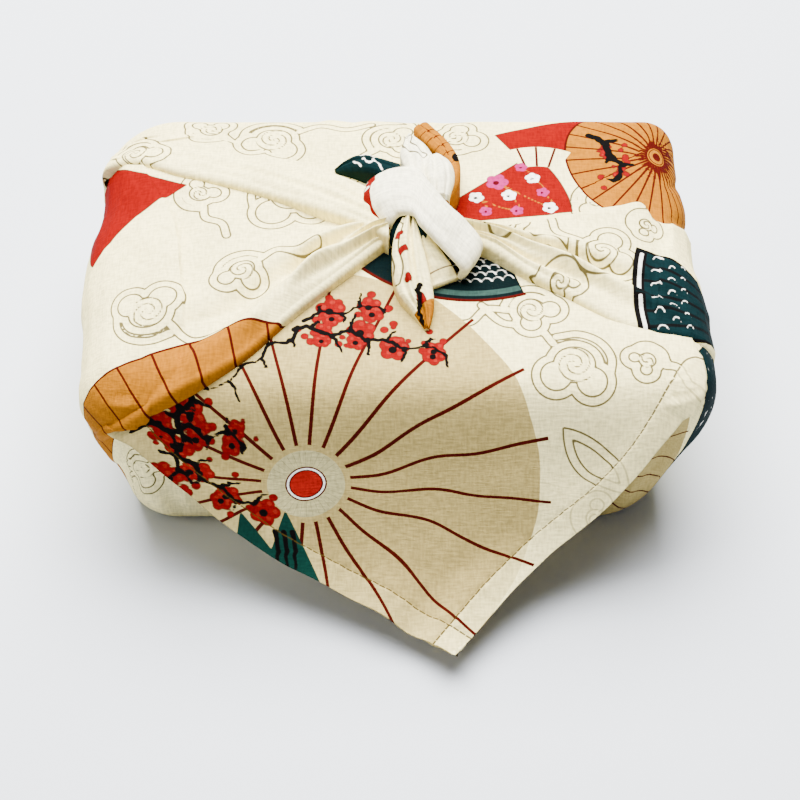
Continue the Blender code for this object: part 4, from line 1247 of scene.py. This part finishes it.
# x, y, radius, turn and hand of each cloud
LEFT_CLOUDS = [(-86.8, -34.6, 8.2, 2.9, 1), (-38.6, 20.8, 10.0, 0.5, -1), (-72, 24, 5.4, 2.2, 1),
               (-55, -18, 6.0, 0.2, -1)]
RIGHT_CLOUDS = [(71, -8, 7.4, 2.2, -1), (55.4, -22.4, 4.8, 0.3, 1), (37.4, 3.2, 5.0, 2.8, 1),
                (88, 9, 4.2, 0.9, -1)]
BACK_CLOUDS = [(-97.6, 46, 6.8, 0.4, 1), (-46.5, 55.4, 8.0, 0.1, -1), (-3, 55.4, 6.4, 1.2, 1),
               (20.6, 57, 6.2, 2.4, -1), (-70, 62, 5.6, 2.8, 1), (72, 22, 6.0, 0.5, -1),
               (-92, -112, 7.4, 0.6, 1), (-60, -110, 8, 0.3, 1), (10, 100, 8, 0.5, 1),
               (40, 112, 9, 2.2, -1), (74, 96, 7, 0.9, 1), (-86, 96, 8, 2.8, 1),
               (-150, 62, 8, 1.2, 1), (-136, -8, 7, 2.0, -1), (-148, -40, 7, 0.4, 1),
               (142, 8, 8, 0.6, 1), (150, -30, 7, 2.4, -1), (138, 44, 7, 0.2, 1)]
for ob, rows in ((left_wing, LEFT_CLOUDS), (right_wing, RIGHT_CLOUDS), (left_upper, BACK_CLOUDS)):
    p, fields = cloth_points(ob), {}
    shared(fields, p, gold_from=126)
    clouds(fields, p, rows)
    ink(ob, fields)

# %% [markdown]
# ## The bundle's print
# On the top at the back lie a pleated white fan, a red paper kite and a golden
# umbrella that runs over the right end. Another umbrella shows on the front at
# the right, below the flap, and one lies on the back. The back, the ends and
# the hidden front carry the same motifs in a looser layout.

# %% Bundle print, umbrellas and kite
GOLD_HUB, FRONT_HUB, BACK_HUB = (97.8, 47.0), (50.0, -108.0), (-40.0, 118.0)
GOLD_RIM, GOLD_CUT = 37.2, 40              # radius, and the slanting line it ends at on the left
KITE = [(35, 58), (44, 44), (84, 56), (112, 92)]
PLEAT_HUB = (50, 24)
p, fields = cloth_points(bundle), {}
fields["goldhub"] = parasol(fields, p, GOLD_HUB, GOLD_RIM, even_ribs(30, 5.7), 4.6)
parasol(fields, p, FRONT_HUB, 64.0, even_ribs(24, 2.9), 12.0, wave=0.6)
parasol(fields, p, BACK_HUB, 40.0, even_ribs(24), 9.0, wave=0.8)
add(fields, "shade", disc(p, FRONT_HUB, 62.0))
add(fields, "shade", disc(p, BACK_HUB, 38.0))
add(fields, "gold", np.maximum(fields["goldhub"] - GOLD_RIM, -(p[:, 0] + p[:, 1] * 0.2 - GOLD_CUT)))
shared(fields, p, gold_from=148)
add(fields, "red", polygon(p, KITE))
w = p - np.array(PLEAT_HUB)
fields["pleat"] = sector(p, PLEAT_HUB, 16, 27, 62, 112)
fields["pleat_rib"] = np.hypot(*w.T) * np.sin(12 * np.arctan2(w[:, 1], w[:, 0])) / 12
print("fields on the bundle so far:", ", ".join(fields))

# %% [markdown]
# A red fan behind the knot is strewn with blossoms on thin golden threads.
# More blossoms, a dark green fan on the right side and clouds follow round the
# bundle, so that no side of it is bare.

# %% Bundle print, blossoms and clouds
RED_HUB, SIDE_HUB = (4, 8), (66, -84)
# x, y and radius of blossoms on the back and the ends
LOOSE_BLOSSOMS = [(64, 128, 4.5), (70, 122, 3.6), (57, 122, 3.0), (-142, -66, 4.0), (-136, -72, 3.0),
                  (136, 26, 3.6)]
add(fields, "red", sector(p, RED_HUB, 0, 59, 8, 41))
flowers = [polar(RED_HUB, r, a) for r, turns in ((28, (17, 33)), (39, (13, 25, 37)), (51, (12, 21, 30, 38)))
           for a in turns]
for k, (x, y) in enumerate(flowers):
    if k % 2:
        blossom(fields, p, (x, y), 2.9, x, petals="pale")
    else:
        blossom(fields, p, (x, y), 2.5 + 1.8 * (k == 4), x, petals="pink", core="wine")
for (x0, y0), (x1, y1) in zip(flowers[:-1], flowers[1:]):
    sag = ((x0 + x1) / 2 + 2, (y0 + y1) / 2 - 2)
    add(fields, "thread", stroke(p, [(x0, y0), sag, (x1, y1)], 0.36, 0.36))
plum(fields, p, (70, 58), -62, 28, 1.6, 60, 2.2)
add(fields, "teal", sector(p, SIDE_HUB, 51, 76, -46, 42))
add(fields, "redline", sector(p, SIDE_HUB, 50.2, 51, -46, 42))
waves(fields, p, SIDE_HUB, (56, 61, 66), -42, 40, 5.6)
clouds(fields, p, BACK_CLOUDS)
for x, y, r in LOOSE_BLOSSOMS:
    blossom(fields, p, (x, y), r, x)
ink(bundle, fields)

# %% [markdown]
# ## The knot's print
# The band shows the plain ground of the cloth with a red patch at its end. The
# two tails come from printed corners, so one is golden with ribs and the other
# has red petals and a golden tip; the leaf behind is dark green with white
# waves. Each form gets its own few shapes, in mm along and across it.

# %% Knot print
def band_print(fields, p):
    """Red patch at the band's left end, with three pale blossoms."""
    add(fields, "red", polygon(p, [(-2, -16), (7.4, -14), (8.6, -4), (9.6, 6), (8.4, 16), (-2, 16)]))
    for x, y, r in ((5, -8, 1.6), (7.6, 3, 1.4), (5.5, 9, 1.5)):
        blossom(fields, p, (x, y), r, x, petals="pale", core=None)


def lower_tail_print(fields, p):
    """Golden tip, red petals, a dark twig and one drawn line."""
    add(fields, "gold", polygon(p, [(44, -9), (30, -6.5), (33, -1), (36, 1), (41, 9), (52, 6)]))
    for x, y, r in ((13, 2.2, 1.5), (24, 1.4, 1.7), (31, -1.4, 2.2), (8, 3, 1.3)):
        add(fields, "bloom", stroke(p, [(x, y), (x + 1.6, y + 0.8)], 0.6 * r, 0.3 * r, seed=int(x)))
    add(fields, "ink", stroke(p, [(26, -1.6), (30, -1), (33, 0), (37, 1.5), (43, 1)], 0.9, 0.35, seed=3))
    add(fields, "cloud", stroke(p, [(4, 3.4), (12, 5), (20, 4.2), (25, 6)], 0.0, 0.0))


def upper_tail_print(fields, p):
    """Dark red ribs across the golden tail, one along it, and a dark spot."""
    for x in (5, 10, 15.5, 21, 27):
        add(fields, "redline", stroke(p, [(x, -7), (x + 1.2, 0), (x + 0.4, 7)], 0.28, 0.28))
    add(fields, "redline", stroke(p, [(0, 0.6), (14, -0.4), (24, 1)], 0.22, 0.22))
    add(fields, "ink", stroke(p, [(25, -2), (28, -1)], 1.4, 0.9, seed=2))


def side_facet_print(fields, p):
    """Two thin dark red lines."""
    add(fields, "redline", stroke(p, [(17, -6), (19.5, 6)], 0.25, 0.25))
    add(fields, "redline", stroke(p, [(6, -1.6), (14, -4), (22, -5)], 0.4, 0.3))


def left_ear_print(fields, p):
    """One drawn line along the ear."""
    add(fields, "cloud", stroke(p, [(3, 0.6), (8, 2.2), (13, 0.8), (18, -1.6)], 0.0, 0.0))


def back_leaf_print(fields, p):
    """Three white waves."""
    for pts in ([(9, -2), (11, 1), (14, -1), (16, 2)], [(11, 3), (14, 4), (17, 3)], [(18, -2), (20, 0)]):
        add(fields, "white", stroke(p, pts, 0.4, 0.3, seed=8))


KNOT_PRINTS = {"knot_band": band_print, "lower_tail": lower_tail_print, "side_facet": side_facet_print,
               "upper_tail": upper_tail_print, "left_ear": left_ear_print, "back_leaf": back_leaf_print}
for name, draw in KNOT_PRINTS.items():
    p, fields = cloth_points(knot[name]), {}
    draw(fields, p)
    ink(knot[name], fields)

# %% [markdown]
# ## Cotton
# One recipe serves all pieces: a plain-weave cotton whose two thread directions
# show as fine streaks in colour and relief, then one ink after another laid
# over it by the fields. Every ink is a mask and a colour, so a new motif never
# needs a new material. The few node types it takes are wrapped first.

# %% Node helpers
EDGE = 0.13                                # softness of an inked edge, mm


def math_node(tree, operation, *values):
    """Output of a Math node fed by numbers or by other nodes' outputs."""
    m = tree.nodes.new("ShaderNodeMath")
    m.operation = operation
    for k, v in enumerate(values):
        if isinstance(v, (int, float)):
            m.inputs[k].default_value = v
        else:
            tree.links.new(v, m.inputs[k])
    return m.outputs["Value"]


def ramp(tree, value, low, high, start, end, kind="LINEAR"):
    """Output of a Map Range node: start at low, end at high, held outside."""
    m = tree.nodes.new("ShaderNodeMapRange")
    m.interpolation_type = kind
    for key, v in (("From Min", low), ("From Max", high), ("To Min", start), ("To Max", end)):
        m.inputs[key].default_value = v
    tree.links.new(value, m.inputs["Value"])
    return m.outputs["Result"]


def below(tree, value, level, soft=EDGE):
    """Mask that is 1 where a value lies below a level, with a soft edge."""
    return ramp(tree, value, level - soft, level + soft, 1.0, 0.0, "SMOOTHSTEP")


def near(tree, value, width, level=0.0, soft=EDGE):
    """Mask of a drawn line: 1 within half a width of a level."""
    if level:
        value = math_node(tree, "SUBTRACT", value, level)
    return below(tree, math_node(tree, "ABSOLUTE", value), width / 2, soft)


print("an inked edge is", 2 * EDGE, "mm wide")

# %% [markdown]
# ## Weave
# Plain weave shows as streaks along both threads. Noise that is stretched more
# than fourfold along one direction, and again along the other, gives threads
# of uneven thickness, which a regular grid of waves would not; a slower noise
# makes the cloth a little cloudy. It is a group, so all pieces share it.

# %% Weave group
THREAD, ALONG = 1150.0, 260.0              # noise cells a metre, across and along a thread
CLOUDY, CLOUDY_PART = 55.0, 0.55           # cells a metre, share in the shade


def noise(tree, place, scale, detail):
    """Output of a flat Noise Texture node read at a place."""
    t = tree.nodes.new("ShaderNodeTexNoise")
    t.noise_dimensions = "2D"
    t.inputs["Scale"].default_value = scale
    t.inputs["Detail"].default_value = detail
    tree.links.new(place, t.inputs["Vector"])
    return t.outputs["Fac"]


def weave_group():
    """Shared group: cloth coordinates in, thread height and shade out."""
    grp = bpy.data.node_groups.new("plain_weave", "ShaderNodeTree")
    grp.interface.new_socket("Cloth", in_out="INPUT", socket_type="NodeSocketVector")
    grp.interface.new_socket("Height", in_out="OUTPUT", socket_type="NodeSocketFloat")
    grp.interface.new_socket("Shade", in_out="OUTPUT", socket_type="NodeSocketFloat")
    cloth = grp.nodes.new("NodeGroupInput").outputs["Cloth"]
    result = grp.nodes.new("NodeGroupOutput")
    threads = []
    for scale in ((THREAD, ALONG, 1.0), (ALONG, THREAD, 1.0)):
        m = grp.nodes.new("ShaderNodeMapping")
        m.inputs["Scale"].default_value = scale
        grp.links.new(cloth, m.inputs["Vector"])
        threads.append(noise(grp, m.outputs["Vector"], 1.0, 1.0))
    height = math_node(grp, "ADD", *threads)
    shade = math_node(grp, "MULTIPLY_ADD", noise(grp, cloth, CLOUDY, 2.0), CLOUDY_PART, height)
    grp.links.new(height, result.inputs["Height"])
    grp.links.new(ramp(grp, shade, 0.9, 1.65, 0.76, 1.10), result.inputs["Shade"])
    return grp


WEAVE = weave_group()
print(WEAVE.name, "has", len(WEAVE.nodes), "nodes")

# %% [markdown]
# ## Inks
# The colours of the print, as linear red, green and blue. Cream is the ground,
# plain the paler ground of the knot; shade is the umbrella's paper. The darkest
# teal, on the flap's fan under the knot, is part dark print and part painted
# shade. The inks are darker than they seem on the cloth, because the softbox is
# strong.

# %% Inks
INKS = {
    "cream": (0.91, 0.80, 0.385), "plain": (0.90, 0.85, 0.62), "white": (0.89, 0.875, 0.80),
    "shade": (0.36, 0.27, 0.088), "hub": (0.44, 0.40, 0.20), "hub red": (0.27, 0.006, 0.004),
    "spoke": (0.15, 0.155, 0.07), "cloud": (0.062, 0.046, 0.012), "stitch": (0.040, 0.024, 0.003),
    "red": (0.155, 0.001, 0.0005), "dark red": (0.046, 0.002, 0.001), "wine": (0.055, 0.001, 0.003),
    "bloom": (0.155, 0.002, 0.002), "blush": (0.28, 0.02, 0.012), "pink": (0.30, 0.012, 0.11),
    "gold": (0.285, 0.100, 0.0015), "thread": (0.30, 0.09, 0.002), "black": (0.002, 0.0015, 0.0015),
    # the second teal is for the flap's fan under the knot: its dark print and painted shade
    "teal": (0.0015, 0.0098, 0.0112), "dark teal with painted shade": (0.0008, 0.0045, 0.005), "jade": (0.002, 0.026, 0.019),
    "band": (0.020, 0.045, 0.038)}
print(len(INKS), "inks")

# %% [markdown]
# ## Masks
# Each layer of ink says how its field becomes a mask: filled where negative, a
# line where nearly zero, a double line as clouds are drawn with, ribs that are
# kept within a reach, a ring, fine spokes round a hub, or a row of stitches.

# %% Masks
CLOUD_GAP = 1.5                            # mm from a cloud's edge to each of its two lines
STITCH_STEP, STITCH_WIDTH = 2.6, 0.68      # mm


def reader(tree):
    """Function that gives an attribute's output, with one node for each."""
    known = {}

    def read(key):
        """Output of the attribute of that name."""
        if key not in known:
            node = tree.nodes.new("ShaderNodeAttribute")
            node.attribute_type, node.attribute_name = "GEOMETRY", key
            known[key] = node.outputs["Fac"]
        return known[key]

    return read


def spokes(tree, read, f, hub, count):
    """Fine lines round a hub, where the sine of the angle times count is near
    zero, kept between 7.4 and 13 mm from the hub."""
    u, v = (math_node(tree, "SUBTRACT", read(k), c) for k, c in zip(("cu", "cv"), hub))
    turns = math_node(tree, "SINE", math_node(tree, "MULTIPLY", math_node(tree, "ARCTAN2", v, u), count))
    fine = math_node(tree, "MULTIPLY", near(tree, turns, 0.24, soft=0.12), below(tree, f, 13.0))
    return math_node(tree, "MULTIPLY", fine, below(tree, math_node(tree, "SUBTRACT", 0.0, f), -7.4))


def stitches(tree, f, run, inset):
    """Dashes along a line at an inset from the hem, by a sine of the run."""
    along = math_node(tree, "SINE", math_node(tree, "MULTIPLY", run, 2 * math.pi / STITCH_STEP))
    return math_node(tree, "MULTIPLY", near(tree, f, STITCH_WIDTH, inset), below(tree, along, 0.90, 0.2))


def mask(tree, read, kind, field, size):
    """Mask of one layer. fill inks below size, line within half of size of
    zero, double two such lines, reach a line kept where <field>_reach is
    negative, inside one kept where another field is, ring a line at a level."""
    f = read(field)
    if kind == "fill":
        return below(tree, f, size)
    if kind == "line":
        return near(tree, f, size)
    if kind == "double":
        return near(tree, math_node(tree, "ABSOLUTE", f), size, CLOUD_GAP)
    if kind == "reach":
        return math_node(tree, "MULTIPLY", near(tree, f, size), below(tree, read(field + "_reach"), 0.0))
    if kind == "inside":
        return math_node(tree, "MULTIPLY", near(tree, f, size[1]), below(tree, read(size[0]), 0.0))
    if kind == "ring":
        return near(tree, f, size[1], size[0])
    if kind == "spokes":
        return spokes(tree, read, f, *size)
    return stitches(tree, f, read(size[0]), size[1])


print("stitches every", STITCH_STEP, "mm")

# %% [markdown]
# ## One cotton for each piece
# The material mixes the inks over the ground one by one, darkens the result by
# the weave's shade and bumps it by the thread height. Cotton is matt, so it
# has high roughness and hardly any gloss.

# %% Cotton material
ROUGHNESS, GLOSS = 0.86, 0.03
RELIEF, THREAD_HEIGHT = 0.45, 0.0003       # strength, metres


def cotton(name, ground, layers):
    """Cotton of a ground colour with inks. A layer is (kind, field, colour,
    size, strength), its mask as in mask()."""
    mat = bpy.data.materials.new(name)
    mat.use_nodes = True
    tree = mat.node_tree
    bsdf = tree.nodes["Principled BSDF"]
    bsdf.inputs["Roughness"].default_value = ROUGHNESS
    bsdf.inputs["Specular IOR Level"].default_value = GLOSS
    uv = tree.nodes.new("ShaderNodeUVMap")
    uv.uv_map = "cloth"
    weave = tree.nodes.new("ShaderNodeGroup")
    weave.node_tree = WEAVE
    tree.links.new(uv.outputs["UV"], weave.inputs["Cloth"])
    start = tree.nodes.new("ShaderNodeRGB")
    colour = start.outputs[0]
    colour.default_value = (*INKS[ground], 1)
    read = reader(tree)
    for kind, field, ink_name, size, strength in layers:
        part = mask(tree, read, kind, field, size)
        if strength < 1:
            part = math_node(tree, "MULTIPLY", part, strength)
        mix = tree.nodes.new("ShaderNodeMix")
        mix.data_type = "RGBA"
        tree.links.new(part, mix.inputs[0])
        tree.links.new(colour, mix.inputs[6])
        mix.inputs[7].default_value = (*INKS[ink_name], 1)
        colour = mix.outputs[2]
    tone = tree.nodes.new("ShaderNodeVectorMath")
    tone.operation = "SCALE"
    tree.links.new(colour, tone.inputs[0])
    tree.links.new(weave.outputs["Shade"], tone.inputs["Scale"])
    tree.links.new(tone.outputs["Vector"], bsdf.inputs["Base Color"])
    bump = tree.nodes.new("ShaderNodeBump")
    bump.inputs["Strength"].default_value = RELIEF
    bump.inputs["Distance"].default_value = THREAD_HEIGHT
    tree.links.new(weave.outputs["Height"], bump.inputs["Height"])
    tree.links.new(bump.outputs["Normal"], bsdf.inputs["Normal"])
    return mat


print("threads stand", round(THREAD_HEIGHT / MM, 2), "mm high at most")

# %% [markdown]
# ## Which inks each piece carries
# The tables say, for every piece, its ground and its layers from the first
# ink to the last; what is printed later covers what lies below it.

# %% Layers of the sheet and the wings
# kind, field, ink, size, strength
CLOUDS = [("double", "cloud", "cloud", 0.64, 0.95), ("line", "swirl", "cloud", 0.64, 0.95)]
PETALS = ("fill", "bloom", "bloom", 0.0, 1.0)
PETAL_EDGE = ("line", "bloom", "wine", 0.35, 0.7)
BRUSH = ("fill", "ink", "black", 0.0, 1.0)
BLOOMS = [PETALS, ("fill", "blush", "blush", 0.0, 0.5), PETAL_EDGE, BRUSH]
RED = [("fill", "red", "red", 0.0, 1.0), ("line", "red", "dark red", 0.5, 0.8)]
GOLD = ("fill", "gold", "gold", 0.0, 1.0)
FINE_RED = ("fill", "redline", "dark red", 0.0, 1.0)
WHITE = ("fill", "white", "white", 0.0, 1.0)
PALE = ("fill", "pale", "white", 0.0, 1.0)
TEAL = ("fill", "teal", "teal", 0.0, 1.0)
SHADE = ("fill", "shade", "shade", 0.0, 0.95)
looks = {
    "front_flap": ("cream", CLOUDS + [
        SHADE, ("fill", "hem_l", "cream", STITCH, 0.12), ("fill", "hem_r", "cream", STITCH, 0.55),
        ("reach", "rib", "dark red", 1.3, 1.0), ("fill", "hub", "hub", 13.4, 0.9),
        ("spokes", "hub", "spoke", (HUB, 18.0), 0.7), ("fill", "hub", "dark red", 7.2, 1.0),
        ("fill", "hub", "white", 6.6, 1.0), ("fill", "hub", "dark red", 5.9, 1.0),
        # the fan under the knot takes the darker teal: its dark print and painted shade
        ("fill", "hub", "hub red", 5.4, 1.0), ("fill", "teal", "dark teal with painted shade", 0.0, 1.0),
        ("fill", "jade", "jade", 0.0, 1.0), ("fill", "band", "band", 0.0, 1.0),
        ("fill", "white", "white", 0.0, 0.9), FINE_RED] + BLOOMS + [
        ("stitch", "hem_l", "stitch", ("run_l", STITCH), 0.9),
        ("stitch", "hem_r", "stitch", ("run_r", STITCH), 0.9)]),
    "left_wing": ("cream", CLOUDS + RED + [
        GOLD, ("line", "gold", "dark red", 0.9, 1.0), ("reach", "rib", "dark red", 0.9, 1.0)]),
    "left_upper_fold": ("cream", CLOUDS),
    "right_wing": ("cream", CLOUDS + [
        TEAL, ("line", "teal", "black", 0.9, 1.0), ("reach", "rib", "black", 1.3, 0.9),
        ("fill", "inkline", "black", 0.0, 1.0), WHITE])}
print(len(looks["front_flap"][1]), "layers on the flap")

# %% [markdown]
# The bundle carries the most motifs; the knot's forms carry one or two each.
# With all tables in place every piece gets its own cotton. One big material
# for all would be slower, as each point would pay for every ink.

# %% Layers of the bundle and the knot
looks["bundle_cloth"] = ("cream", CLOUDS + [SHADE] + RED + [
    GOLD, ("line", "gold", "dark red", 0.8, 1.0), ("reach", "rib", "dark red", 0.75, 1.0),
    ("ring", "goldhub", "dark red", (3.9, 0.5), 1.0), ("fill", "goldhub", "dark red", 2.2, 1.0),
    ("fill", "pleat", "cream", 0.0, 1.0), ("inside", "pleat_rib", "dark red", ("pleat", 0.9), 1.0),
    ("fill", "thread", "thread", 0.0, 0.9), PALE, ("fill", "pink", "pink", 0.0, 1.0),
    ("fill", "wine", "wine", 0.0, 1.0), TEAL, ("line", "teal", "black", 0.5, 1.0), WHITE,
    FINE_RED] + BLOOMS)
looks.update({
    "knot_band": ("plain", [RED[0], PALE]),
    "lower_tail": ("cream", [CLOUDS[0], GOLD, PETALS, PETAL_EDGE, BRUSH]),
    "side_facet": ("cream", [("fill", "redline", "dark red", 0.0, 0.9)]),
    "upper_tail": ("gold", [FINE_RED, BRUSH]),
    "left_ear": ("plain", CLOUDS[:1]), "right_ear": ("plain", []),
    "back_leaf": ("teal", [WHITE]), "knot_heart": ("teal", [])})
pieces = [bundle, flap, left_wing, left_upper, right_wing] + list(knot.values())
for piece in pieces:
    ground, layers = looks[piece.name]
    piece.data.materials.append(cotton("cotton_" + piece.name, ground, layers))
    print(piece.name, "on", ground, "with", len(layers), "inks")

# %% [markdown]
# ## Attaching the pieces
# Every piece rides on the one body and stands for the one imported solid, which
# is hidden. The flap hangs free; the rest is cloth that lies on the box and on
# itself.

# %% Attach the pieces
for piece in pieces:
    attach(piece, "root")
    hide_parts("furoshiki_cloth")
